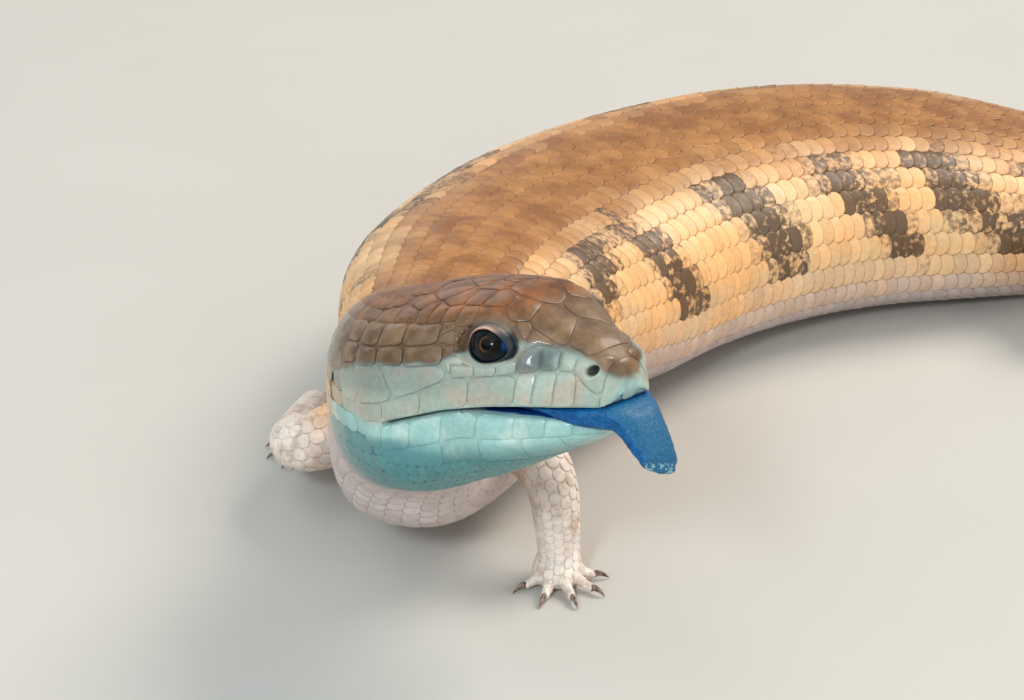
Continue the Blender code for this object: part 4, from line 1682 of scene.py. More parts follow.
LABIAL_TOP: Profile = ((0, 1.0), (2.5, 2.4), (4, 4.0), (6, 6.3), (9, 6.4), (16, 5.7), (22, 5.4),
                       (26, 5.6), (31, 4.9), (35, 4.2), (44, 3.6), (54, 3.2))
PLATE_TOP: Profile = ((27, 7.3), (30, 8.0), (36, 8.8), (44, 10.1), (54, 10.1), (60, 9.3))
TEMPORAL_MIDDLE: Profile = ((27, 11.4), (36, 12.2), (44, 13.4), (60, 13.4))
INFRALABIAL_FOOT: Profile = ((3, 0.9), (5, 1.7), (8, 2.8), (12, 3.8), (20, 4.9), (35, 5.8), (50, 5.0))
STRIPS = (
    Strip((2.5, 6.0, 9.5, 13.0, 16.0, 24.5, 34.5, 43.7, 51.0), ((0, 0.22), (44, 0.22), (52, -0.4)),
          LABIAL_TOP, -0.16, suture=0.04, ink=0.22),
    Strip((2.0, 5.9), LABIAL_TOP, ((0, 8.3), (2, 8.6), (6, 8.9)), -0.15, dome=0.34, ink=0.7),
    Strip((5.6, 8.6, 12.0, 15.4), LABIAL_TOP, ((5, 9.4), (8, 9.9), (12, 10.3), (15, 9.5)), 0.03,
          dome=0.34, ink=0.4),
    Strip((15.4, 18.8, 22.8, 27.4), LABIAL_TOP, ((14, 8.6), (17, 7.8), (21, 7.3), (28, 7.9)),
          suture=0.035, ink=0.1),
    Strip((27.4, 40.0, 50.0, 58.5), LABIAL_TOP, PLATE_TOP, 0.55, suture=0.045, ink=0.2),
    Strip((29.2, 38.2, 45.3, 52.8, 59.0), PLATE_TOP, TEMPORAL_MIDDLE, 0.1, dome=0.42, rise=0.36,
          suture=0.12, ink=1.0),
    Strip((31.2, 39.5, 46.2, 53.4, 59.5), TEMPORAL_MIDDLE,
          ((29, 14.9), (36, 15.6), (44, 17.0), (60, 16.6)), 0.1, dome=0.38, rise=0.36,
          suture=0.12, ink=1.0),
    Strip((3.9, 7.6, 11.8, 17.0, 23.5, 30.5, 37.5, 44.5, 50.0), ((0, 0.4), (24, 0.4), (29, 0.8), (36, 0.85)),
          INFRALABIAL_FOOT, 0.25, True, rise=0.16, suture=0.035, ink=0.08),
    Strip((4.6, 10.0, 16.5, 24.0, 31.5, 40.0), INFRALABIAL_FOOT,
          ((4, 2.2), (8, 5.6), (12, 7.6), (22, 9.6), (34, 10.2), (42, 9.0)), 0.3, True, rise=0.16,
          suture=0.035, ink=0.08),
)

# Shields that fill the crown and the skin round the eye, as (back, out, up, size).
MIDDLE_SHIELDS = ((0.5, 0.0, 4.6, 4.8), (6.2, 0.0, 12.4, 4.4), (20.5, 0.0, 20.0, 5.2),
                  (33.6, 0.0, 21.0, 3.6), (3.0, 0.0, -5.0, 3.0))
PAIRED_SHIELDS = (
    (12.0, 4.7, 15.6, 4.2), (17.4, 7.0, 18.0, 3.4), (22.6, 7.1, 20.0, 3.5), (27.8, 7.5, 20.4, 3.3),
    (32.6, 8.4, 20.0, 3.0), (28.2, 2.9, 21.2, 3.2), (37.2, 5.6, 20.4, 4.2), (40.6, 10.6, 18.9, 3.0),
    (15.4, 10.9, 14.4, 2.4), (21.3, 12.2, 17.2, 3.3), (27.2, 12.7, 17.8, 2.4), (31.0, 12.9, 18.0, 2.2),
    (34.4, 13.0, 18.1, 2.1), (37.6, 12.9, 18.2, 2.1), (42.2, 14.2, 17.6, 2.9), (48.4, 14.4, 17.3, 3.0),
    (54.6, 13.8, 17.0, 3.0), (28.6, 16.9, 14.4, 1.5), (28.3, 17.8, 12.0, 1.4), (28.0, 18.2, 9.8, 1.4),
    (30.2, 15.4, 16.5, 1.5), (12.6, 9.3, 12.4, 2.2), (26.0, 16.4, 15.6, 1.2))


@dataclass
class ShieldCoat:
    """Head shields, each a low domed plate that fills its cell up to a narrow suture."""

    bare: Surface
    neighbours: Array
    spokes: int = 44
    samples: int = 18
    suture: float = 0.08
    reach: float = 8.2
    rise: float = 0.2
    ink: float = 0.4
    eye_margin: float = 0.25
    root: float = 0.3
    deep_root: float = 2.9
    insets: tuple[float, ...] = (0.0, 0.0, 0.1, 0.3)
    granule_rows: tuple[tuple[float, int], ...] = ((0.5, 20), (0.9, 22))
    granules_behind: float = -0.7
    granules_above: float = -0.3
    granule_stagger: float = 9.0
    granule_size: float = 0.47
    granule_reach: float = 1.3
    granule_dome: float = 0.3
    granule_spokes: int = 12
    granule_samples: int = 4
    least: float = 0.35
    neighbour_reach: float = 2.4
    look_out: float = 3.5
    nostril_lip: float = 0.25
    nostril_dent: float = 2.5
    tone_spread: float = 0.17
    snout_reach: float = 2.4
    side_gap: float = 0.3
    cell_dome: Pair = (0.1, 0.02)
    store: MeshStore = field(default_factory=MeshStore)

    def __post_init__(self) -> None:
        """Set the source of the plates' tones and the way to the rear."""
        self.random = np.random.default_rng(11)
        self.back = -FORM.axes(0.0)[1]

    def march(self, centre: Array, allowed: Room, reach: float, suture: float) -> tuple[Array, ...] | None:
        """Walk out from a cell's middle over the skin until the cell ends.

        Args:
            centre: World place of the cell's middle.
            allowed: How far inside the cell each place is.
            reach: The furthest to walk.
            suture: Half the width of the gap left round the cell.

        Returns:
            The walk's places and directions, (spokes, samples, 3), its radii, and each spoke's end,
            or None where the middle is already outside.
        """
        middle, normal = self.bare.snap(centre[None])
        middle, normal = middle[0], normal[0]
        if allowed(middle[None])[0] < suture:
            return None
        first = square_to(normal, self.back)
        second = np.cross(normal, first)
        phi = angles(self.spokes)
        spoke = spokes(phi, first, second)
        radii = np.linspace(0, reach, self.samples)
        places = middle + spoke[:, None] * radii[None, :, None]
        places, normals = self.bare.snap(places)
        room = allowed(places.reshape(-1, 3)).reshape(self.spokes, self.samples) - suture
        room[:, 0] = np.maximum(room[:, 0], 0.01)
        stop = np.where((room < 0).any(1), (room < 0).argmax(1), self.samples - 1)
        row = np.arange(self.spokes)
        before, after = room[row, stop - 1], room[row, stop]
        share = np.where(after < 0, before / np.maximum(before - after, 1e-6), 1.0)
        end = radii[stop - 1] + np.clip(share, 0, 1) * radii[1]
        for _ in range(2):
            end = np.minimum(end, (np.roll(end, 1) + 2 * end + np.roll(end, -1)) / 4)
        return places, normals, radii, end

    def plate(self, centre: Array, allowed: Room, reach: float, rise: float, dome: float,
              fine: bool = False, suture: float = 0.08, ink: float = 0.5) -> None:
        """Add one shield.

        Args:
            centre: World place of its middle.
            allowed: How far inside its cell each place is.
            reach: The furthest it spreads.
            rise: Height over the skin.
            dome: Extra height in the middle.
            fine: Whether it takes many rings, for the nostril.
            suture: Half the width of the gap left round it.
            ink: How dark its edge is.
        """
        walk = self.march(centre, allowed, reach, suture)
        if walk is None:
            return
        places, normals, radii, end = walk
        if end.mean() < self.least:
            return
        levels = np.array([-self.deep_root if fine else -self.root, 0.3 * rise, 0.8 * rise, rise])
        rings = [np.maximum(end - inset, 0.25 * end) for inset in self.insets]
        inner = np.linspace(0.8, 0.03, 16) if fine else np.array([0.72, 0.38])
        rings += [np.minimum(end * share, rings[3] * share / 0.86) for share in inner]
        levels = np.concatenate([levels, rise + dome * (1 - inner ** 2)])
        size = radii[1]
        row = np.arange(self.spokes)
        points, facing = [], []
        for ring, level in zip(rings, levels):
            i = np.clip((ring / size).astype(int), 0, self.samples - 2)
            u = (ring / size - i)[:, None]
            normal = unit(normals[row, i] * (1 - u) + normals[row, i + 1] * u)
            points.append(places[row, i] * (1 - u) + places[row, i + 1] * u + normal * level)
            facing.append(normal)
        top = places[:1, 0] + normals[:1, 0] * (rise + dome)
        points = np.concatenate(points + [top])
        facing = np.concatenate(facing + [normals[:1, 0]])
        count = len(rings)
        rim = np.zeros(len(points))
        rim[:2 * self.spokes] = 1.0
        rim[2 * self.spokes:3 * self.spokes] = 0.35
        self.finish(points, facing, rim * ink, count)

    def finish(self, points: Array, facing: Array, rim: Array, count: int) -> None:
        """Dent the nostril, mark the plate with painted shade in the nostril's hollow, and store it.

        Args:
            points: The plate's points, ring by ring and then its top.
            facing: Directions out of the skin at them.
            rim: How dark each is as part of the edge.
            count: How many rings there are.
        """
        back, left, up = FORM.head_places(points)
        away = nostril_away(points)
        inside = np.clip(1 - away / (NOSTRIL_SIZE * 1.15), 0, 1)
        lip = np.exp(-((away - NOSTRIL_SIZE * 1.4) / 0.4) ** 2)
        inward = -np.sign(left)[:, None] * FORM.axes(0.0)[2]
        points = points + facing * (self.nostril_lip * lip)[:, None]
        points = points + inward * (self.nostril_dent * inside)[:, None]
        # Painted shade in the nostril's hollow: the plate darkens towards the middle of the nostril.
        pit_shade = smooth(NOSTRIL_SIZE * 1.1, NOSTRIL_SIZE * 0.8, away)
        pattern, region = MARKINGS.all_over(points)
        tone = self.random.normal(0.5, self.tone_spread)
        scale = np.stack([np.full(len(points), tone), rim, pit_shade], -1)
        faces = [grid_faces(count, self.spokes),
                 fan_faces((count - 1) * self.spokes, self.spokes, len(points) - 1),
                 np.arange(self.spokes)[None, ::-1]]
        bake = np.stack([on_map(back, HEAD_SPAN),
                         np.arctan2(left, -up - 2.0) / (2 * math.pi) * MAP_SHARE + 0.5], -1)
        bake[np.abs(bake[:, 1] - bake[-1, 1]) > 0.5, 1] = bake[-1, 1]
        self.store.add(points, faces, pattern, region, scale, bake)

    def beside(self, world: Array, gap: float) -> Array:
        """Room left by the eye lids.

        Args:
            world: World places, as rows.
            gap: How far over a lid's rim a shield may reach.

        Returns:
            Room at each place.
        """
        room = np.full(len(world), FAR)
        for eye in EYES:
            rho, phi, height = eye.polar(world)
            room = np.where(height > 0, np.minimum(room, rho - eye.rim_at(phi) + gap), room)
        return room

    def strip_room(self, world: Array, side: Side) -> Array:
        """Room left by all the rows of shields on one side.

        Args:
            world: World places, as rows.
            side: Which side of the head.

        Returns:
            Room at each place.
        """
        _, left, _ = FORM.head_places(world)
        room = np.full(len(world), FAR)
        for strip in STRIPS:
            taken = strip.inside(world, strip.cuts[0], strip.cuts[-1])
            room = np.minimum(room, np.where(left * side.value > 0, -taken, FAR))
        return room

    def add_strips(self) -> None:
        """All the rows of shields, on both sides."""
        for side in Side:
            for strip in STRIPS:
                for first, last in zip(strip.cuts, strip.cuts[1:]):
                    def allowed(world: Array) -> Array:
                        """Room inside this stretch and outside the lids.

                        Args:
                            world: World places.

                        Returns:
                            How far inside each is.
                        """
                        _, left, _ = FORM.head_places(world)
                        room = strip.inside(world, first, last)
                        room = np.where(left * side.value > self.side_gap, room, -1.0)
                        return np.minimum(room, self.beside(world, self.eye_margin))
                    nasal = strip is STRIPS[1]
                    self.plate(strip.middle(first, last, side), allowed, self.reach,
                               strip.rise, strip.dome, nasal, strip.suture, strip.ink)

    def add_cells(self) -> None:
        """Crown, brow and other shields, parted half way between their middles."""
        seeds = [(row, 0) for row in MIDDLE_SHIELDS]
        seeds += [(row, side.value) for side in Side for row in PAIRED_SHIELDS]
        places = np.array([FORM.at(row[0], sign * row[1], row[2]) for row, sign in seeds])
        places = self.bare.snap(places)[0]
        sizes = np.array([row[3] for row, _ in seeds])
        others = np.concatenate([places, self.neighbours])
        reaches = np.concatenate([sizes, np.full(len(self.neighbours), self.neighbour_reach)])
        for index, (row, sign) in enumerate(seeds):
            near = np.linalg.norm(others - places[index], axis=1) < self.look_out * (sizes[index] + 2.0)
            near[index] = False
            to = others[near] - places[index]
            gap = np.linalg.norm(to, axis=1)
            plane = (gap ** 2 + sizes[index] ** 2 - reaches[near] ** 2) / (2 * gap)

            def allowed(world: Array) -> Array:
                """Room on this side of every neighbour, outside the rows and the lids.

                Args:
                    world: World places.

                Returns:
                    How far inside each is.
                """
                over = (world - places[index]) @ (to / gap[:, None]).T
                room = (plane - over).min(1)
                for side in Side:
                    if sign in (0, side.value):
                        room = np.minimum(room, self.strip_room(world, side))
                back, left, up = FORM.head_places(world)
                if sign:
                    room = np.minimum(room, left * sign)
                room = np.minimum(room, JAW.edge(back) - up if row[2] < 0 else up - FORM.lip_line(back))
                return np.minimum(room, self.beside(world, self.eye_margin))
            reach = self.reach * (self.snout_reach if row[0] < 1 else 1)
            dome = self.cell_dome[0] + self.cell_dome[1] * row[3]
            self.plate(places[index], allowed, reach, self.rise, dome, False, self.suture, self.ink)

    def add_granules(self, lids: Surface) -> None:
        """Small round scales on the lids.

        Args:
            lids: The skin with its lids.
        """
        kept = self.bare, self.spokes, self.samples
        self.bare, self.spokes, self.samples = lids, self.granule_spokes, self.granule_samples
        for eye in EYES:
            for share, count in self.granule_rows:
                turn = angles(count) + share * self.granule_stagger
                inner, outer = eye.opening_at(turn), eye.rim_at(turn)
                rho = inner + (outer - inner) * share
                size = self.granule_size * 2 * math.pi * rho.mean() / count
                behind = (np.cos(turn) < self.granules_behind) & (np.sin(turn) > self.granules_above)
                for place in eye.at(rho, turn, np.full(count, 5.0))[behind]:
                    def allowed(world: Array, place: Array = place) -> Array:
                        """Room inside one granule's round.

                        Args:
                            world: World places.
                            place: The granule's middle.

                        Returns:
                            How far inside each is.
                        """
                        flat = world - place
                        flat = flat - (flat @ eye.gaze)[:, None] * eye.gaze
                        return size + self.suture - np.linalg.norm(flat, axis=1)
                    self.plate(place, allowed, size * self.granule_reach, self.rise, self.granule_dome)
        self.bare, self.spokes, self.samples = kept

    def build(self, hide: bpy.types.Object) -> bpy.types.Object:
        """Make every shield and granule, joined.

        Args:
            hide: The skin.

        Returns:
            The object.
        """
        self.add_strips()
        self.add_cells()
        self.add_granules(Surface(hide))
        return self.store.build("head_shields")


@dataclass
class ScaleShape:
    """One overlapping scale: free and round at the rear, tucked in at the front."""

    sides: int = 12
    wide: float = 0.57
    front: float = 0.62
    rear: float = 0.84
    rings: tuple[float, ...] = (1.0, 1.0, 0.87, 0.45)
    levels: tuple[float, ...] = (-0.18, 0.04, 0.13, 0.18)

    def outline(self) -> tuple[Array, Array]:
        """Places of the template's points, the last one its middle.

        Returns:
            Across and rearwards.
        """
        turn = angles(self.sides)
        across = self.wide * power(np.cos(turn), 0.8)
        along = power(np.sin(turn), 0.9) * np.where(np.sin(turn) > 0, self.rear, self.front)
        middle = (self.rear - self.front) / 2
        x = np.concatenate([across * ring for ring in self.rings] + [np.zeros(1)])
        y = np.concatenate([middle + (along - middle) * ring for ring in self.rings] + [np.full(1, middle)])
        return x, y

    def heights(self) -> tuple[Array, Array]:
        """Thickness of the template's points, and their share of the rearward tilt.

        Returns:
            The two, for each point.
        """
        thick = np.concatenate([np.full(self.sides, level) for level in self.levels] + [[0.2]])
        _, y = self.outline()
        tilt = (y + self.front) / (self.front + self.rear)
        tilt[:self.sides] = 0.0
        return thick, tilt

    def faces(self) -> list[Array]:
        """The template's walls, top and underside.

        Returns:
            Corner numbers, one array for each number of corners.
        """
        count = len(self.rings)
        return [grid_faces(count, self.sides),
                fan_faces((count - 1) * self.sides, self.sides, count * self.sides),
                np.arange(self.sides)[None, ::-1]]


@dataclass
class ScaleCoat:
    """Rows of overlapping scales over one part of the animal."""

    name: str
    bare: Surface
    seed: int
    shape: ScaleShape = field(default_factory=ScaleShape)
    tilt: float = 0.075
    tilt_spread: float = 0.12
    skew: float = 0.035
    stretch: float = 1.3
    full_size: float = 5.0
    tone_spread: float = 0.16
    own_share: float = 0.6
    bury: float = 0.9
    patch: float = 0.0015
    roots: list[tuple[Array, ...]] = field(default_factory=list)

    def lay(self, centre: Array, across: Array, along: Array, chart: Array) -> None:
        """Note a batch of scales.

        Args:
            centre: World places of the roots.
            across: One pitch sideways at each.
            along: One pitch rearwards at each.
            chart: Places of the roots on the bake map.
        """
        self.roots.append((centre, across, along, chart))

    def build(self, keep: Room | None = None) -> bpy.types.Object:
        """Make all the scales that were noted.

        Args:
            keep: Which roots to keep, by their world places.

        Returns:
            One joined object.
        """
        centre, across, along, chart = (np.concatenate([batch[k] for batch in self.roots])
                                        for k in range(4))
        snapped, normal = self.bare.snap(centre)
        good = np.linalg.norm(snapped - centre, axis=1) < self.bury
        if keep is not None:
            good &= keep(snapped)
        centre, across, along, chart, normal = (rows[good] for rows in
                                                (snapped, across, along, chart, normal))
        random = np.random.default_rng(self.seed)
        count = len(centre)
        handed = np.sign((np.cross(across, along) * normal).sum(-1))
        across = across * handed[:, None]
        wobble = random.normal(0, self.skew, (count, 2))
        across, along = across + along * wobble[:, :1], along + across * wobble[:, 1:]
        x, y = self.shape.outline()
        spots = centre[:, None] + x[None, :, None] * across[:, None] + y[None, :, None] * along[:, None]
        points, facing = self.sit(spots)
        size = np.minimum(np.linalg.norm(across, axis=1), self.stretch * np.linalg.norm(along, axis=1))
        thick, lean = self.shape.heights()
        lift = size * self.tilt * random.normal(1.0, self.tilt_spread, count)
        whole = np.minimum(size / self.full_size, 1.0)
        height = thick[None] * whole[:, None] + lean[None] * lift[:, None]
        points = lifted(points + facing * height[..., None], 0.0)
        return self.store(points, centre, x, y, chart, lean, random)

    def sit(self, spots: Array) -> tuple[Array, Array]:
        """Bring the template's outer ring, inner ring and middle to the skin.

        Args:
            spots: The template's points for each scale, (scales, points, 3).

        Returns:
            Their places on the skin and the directions out of it.
        """
        sides = self.shape.sides
        outer, normals = self.bare.snap(spots[:, sides:2 * sides])
        inner, inner_normals = self.bare.snap(spots[:, 3 * sides:])
        share = (self.shape.rings[2] - self.shape.rings[3]) / (1 - self.shape.rings[3])
        middle = inner[:, :-1] + (outer - inner[:, :-1]) * share
        blend = unit(inner_normals[:, :-1] + (normals - inner_normals[:, :-1]) * share)
        points = np.concatenate([outer, outer, middle, inner], 1)
        return points, np.concatenate([normals, normals, blend, inner_normals], 1)

    def store(self, points: Array, centre: Array, x: Array, y: Array,
              chart: Array, lean: Array, random: np.random.Generator) -> bpy.types.Object:
        """Mark the scales and join them.

        Args:
            points: All the scales' points, (scales, points, 3).
            centre: Their roots.
            x: The template's points across.
            y: The template's points rearwards.
            chart: The roots' places on the bake map.
            lean: The template points' share of the rearward tilt; not used.
            random: Source of the tones.

        Returns:
            The joined object.
        """
        count, each, _ = points.shape
        pattern, region = MARKINGS.all_over(centre)
        local = MARKINGS.all_over(points[:, -1 - self.shape.sides::self.shape.sides // 4]
                                  .reshape(-1, 3))[0].reshape(count, -1, 3).mean(1)
        pattern = self.own_share * pattern + (1 - self.own_share) * local
        tone = np.clip(random.normal(0.5, self.tone_spread, count), 0, 1)
        rim = np.zeros(each)
        rim[:self.shape.sides] = 1.0
        rim[self.shape.sides:2 * self.shape.sides] = 0.6
        scale = np.stack(np.broadcast_arrays(tone[:, None], rim[None], 0.0), -1)
        bake = chart[:, None] + self.patch * np.stack([y, x], -1)[None]
        shift = np.arange(count)[:, None, None] * each
        faces = [(block[None] + shift).reshape(-1, block.shape[1]) for block in self.shape.faces()]
        store = MeshStore()
        store.add(points.reshape(-1, 3), faces, np.repeat(pattern, each, 0),
                  np.repeat(region, each, 0), scale.reshape(-1, 3), bake.reshape(-1, 2))
        LOG.info("%s: %d scales", self.name, count)
        return store.build(self.name)


@dataclass
class BodyRows:
    """Rows of scales round the neck, trunk and tail, set half a step apart."""

    start: float
    end: float
    rows: int
    ratio: float = 0.72
    probe: float = 0.8
    nudge: float = 0.15
    head_edge: Profile = ((0, 42.5), (0.12, 43.5), (0.2, 55), (0.45, 57), (0.55, 51.5), (0.62, 48), (1, 46))

    def lay(self, coat: ScaleCoat, span: Pair, edge: bool = False) -> None:
        """Note every scale of these rows on a coat.

        Args:
            coat: The coat that takes them.
            span: Distances that its bake map covers.
            edge: Whether to stop at the head's shields.
        """
        s = self.start
        while s < self.end:
            step = self.ratio * FORM.girth(s) / self.rows
            for parity in (0, 1):
                where = s + parity * step / 2
                share = lanes(parity, self.rows) - 0.5
                if edge:
                    share = share[where > profile(self.head_edge, np.abs(2 * share))]
                if len(share):
                    coat.lay(*self.batch(where, share, step, span))
            s += step

    def batch(self, s: float, share: Array, step: float, span: Pair) -> tuple[Array, ...]:
        """Roots, sideways and rearward pitches and chart places of one ring of scales.

        Args:
            s: Distance from the snout.
            share: Signed shares of the girth.
            step: Distance to the next ring.
            span: Distances that the bake map covers.

        Returns:
            The four, for ScaleCoat.lay.
        """
        def place(distance: float, shares: Array) -> Array:
            """Find places on the skin.

            Args:
                distance: Distance behind the snout.
                shares: Shares of the way round.

            Returns:
                World places.
            """
            distance = min(distance, FORM.length - 1.0)
            turn = FORM.turns(distance, shares)
            grow = -float(profile(Skin.coat, distance))
            return FORM.surface(np.full(len(shares), distance), turn, np.full(len(shares), grow))
        tiny = self.nudge / self.rows
        across = (place(s, share + tiny) - place(s, share - tiny)) / (2 * self.nudge)
        along = (place(s + self.probe, share) - place(s - self.probe, share)) / (2 * self.probe) * step
        chart = np.stack([np.full(len(share), on_map(s, span)), share * MAP_SHARE + 0.5], -1)
        return place(s, share), across, along, chart


@dataclass
class ThroatRows:
    """Rows of small scales under the jaw, from the chin shields back to the neck."""

    start: float = 9.0
    end: float = 47.0
    rows: int = 18
    ratio: float = 0.78
    least_width: float = 4.0
    least_pitch: float = 1.5
    probe: float = 0.5
    nudge: float = 0.04
    margin: Profile = ((0, 4.0), (8, 5.8), (12, 7.8), (22, 9.8), (34, 10.4), (41, 9.0), (48, 5.5))

    def lay(self, coat: ScaleCoat) -> None:
        """Note every throat scale on a coat.

        Args:
            coat: The coat that takes them.
        """
        s = self.start
        while s < self.end:
            fine = np.linspace(0, -math.pi, 161)
            distance = np.full_like(fine, s)
            left, up = JAW.outline(distance, fine, 0 * fine - HEAD_COAT)
            drop = float(JAW.roof(s)) - up
            below = drop > float(profile(self.margin, s))
            fine, run = fine[below], run_along(left, up)[below]
            if len(fine) < 4 or run[-1] - run[0] < self.least_width:
                s += self.least_pitch
                continue
            pitch = (run[-1] - run[0]) / self.rows
            step = self.ratio * max(pitch, self.least_pitch)
            for parity in (0, 1):
                turn = np.interp(run[0] + lanes(parity, self.rows) * (run[-1] - run[0]), run, fine)
                coat.lay(*self.batch(s + parity * step / 2, turn, pitch, step))
            s += step

    def batch(self, s: float, turn: Array, pitch: float, step: float) -> tuple[Array, ...]:
        """Roots, sideways and rearward pitches and chart places of one row.

        Args:
            s: Distance from the snout.
            turn: Angles on the jaw's section.
            pitch: Width of one scale.
            step: Distance to the next row.

        Returns:
            The four, for ScaleCoat.lay.
        """
        def place(distance: float, turns: Array) -> Array:
            """World places on the jaw's skin."""
            where = np.full(len(turns), distance)
            return JAW.surface(where, turns, 0 * where - HEAD_COAT)
        across = unit(place(s, turn + self.nudge) - place(s, turn - self.nudge)) * pitch
        along = (place(s + self.probe, turn) - place(s - self.probe, turn)) / (2 * self.probe) * step
        chart = np.stack([np.full(len(turn), on_map(s, HEAD_SPAN)), 0.5 - turn / (2 * math.pi)], -1)
        return place(s, turn), across, along, chart


@dataclass
class LimbRows:
    """Rows of small scales round a leg, its foot and its toes."""

    limb: LimbForm
    index: int
    rows: int
    run: Pair = (0.12, 1.99)
    foot_run: Pair = (0.3, 5.2)
    digit_run: Pair = (0.3, 1.42)
    ratio: float = 0.82
    digit_rows: int = 7
    foot_rows: int = 14
    foot_sides: int = 48
    foot_lane: float = 0.45
    digit_lane: float = 0.6
    lane_step: float = 0.07
    probe: float = 0.02
    nudge: float = 0.05

    def lay(self, coat: ScaleCoat) -> None:
        """Note every scale of the leg on a coat.

        Args:
            coat: The coat that takes them.
        """
        self.spread_rows(coat, self.limb.surface, self.run, self.rows, 0.0)
        self.spread_rows(coat, self.foot_place, self.foot_run, self.foot_rows, self.foot_lane)
        for digit in range(DIGIT_COUNT):
            def place(t: Array, turn: Array, grow: float) -> Array:
                """World places on one toe."""
                return self.limb.digit_surface(digit, t, turn, grow)
            lane = self.digit_lane + self.lane_step * digit
            self.spread_rows(coat, place, self.digit_run, self.digit_rows, lane)

    def foot_place(self, t: Array, turn: Array, grow: float) -> Array:
        """World places on the foot, t counting its rings from the wrist down.

        Args:
            t: Ring numbers.
            turn: Angles round the foot.
            grow: How far outside the solids.

        Returns:
            The places.
        """
        sides = self.foot_sides
        rings = self.limb.foot_rings(sides, grow)
        row = np.clip(t, 0, len(rings) - 1.001)
        return read_table(rings, row, (turn / (2 * math.pi) * sides) % sides)

    def spread_rows(self, coat: ScaleCoat, place: Callable[..., Array], run: Pair, rows: int,
                    lane: float) -> None:
        """Note rows of scales over one tube.

        Args:
            coat: The coat that takes them.
            place: World places on the tube by distance and angle.
            run: Where the rows start and end.
            rows: Scales round the tube.
            lane: Where the tube's strip lies on the bake map.
        """
        def at(where: Array, angle: Array) -> Array:
            """World places on the leg's skin."""
            return place(where, angle, -Skin.leg_coat)
        t, end = run
        turn = angles(rows)
        while t < end:
            here = at(np.full(rows, t), turn)
            pitch = np.linalg.norm(here - np.roll(here, -1, 0), axis=1).mean()
            ahead = at(np.full(rows, t + self.probe), turn)
            rate = np.linalg.norm((ahead - here).mean(0)) / self.probe
            step = self.ratio * pitch / max(rate, 0.4 * pitch)
            for parity in (0, 1):
                angle = turn[parity::2]
                where = np.full(len(angle), t + parity * step / 2)
                centre = at(where, angle)
                across = unit(at(where, angle + self.nudge) - at(where, angle - self.nudge)) * pitch
                along = unit(at(where + self.probe, angle) - centre) * self.ratio * pitch
                width = 0.3 * (1 if lane == 0 else 0.3) / (2 * math.pi)
                chart = np.stack([(self.index + 0.1 + 0.35 * where / 2.2) / 4 + 0.12 * (lane > 0),
                                  lane + 0.02 + width * angle], -1)
                coat.lay(centre, across, along, chart)
            t += step


# Eyes, tongue and claws.

@dataclass
class EyeBall:
    """A ball with a clear bulge over its iris, marked with its own directions."""

    eye: EyeForm
    segments: int = 96
    rings: int = 64
    cornea: float = 3.6
    bulge: float = 0.4
    look: Pair = (0.19, 0.09)

    def build(self) -> bpy.types.Object:
        """Make the ball with its pole at the pupil.

        Returns:
            The object.
        """
        eye = self.eye
        aim = unit(eye.gaze + self.look[0] * eye.fore + self.look[1] * eye.top)
        fore = square_to(aim, eye.fore)
        top = np.cross(aim, fore)
        turn = Vector((0, 0, 1)).rotation_difference(Vector(aim)).to_euler()
        bpy.ops.object.select_all(action="DESELECT")
        bpy.ops.mesh.primitive_uv_sphere_add(
            segments=self.segments, ring_count=self.rings, radius=eye.radius * MM,
            location=Vector(eye.centre * MM), rotation=turn)
        ball = bpy.context.object
        ball.name = f"eyeball_{eye.side.name.lower()}"
        bpy.ops.object.transform_apply(location=True, rotation=True, scale=True)
        bpy.ops.object.shade_smooth()
        points = points_of(ball)
        offset = points - eye.centre
        marks = np.stack([offset @ fore, offset @ top, offset @ aim], -1)
        rho = np.hypot(marks[:, 0], marks[:, 1])
        rise = self.bulge * np.maximum(0, 1 - (rho / self.cornea) ** 2) ** 2 * (marks[:, 2] > 0)
        write_marks(ball.data, "iris", marks / eye.radius)
        move_points(ball, points + rise[:, None] * aim)
        return ball


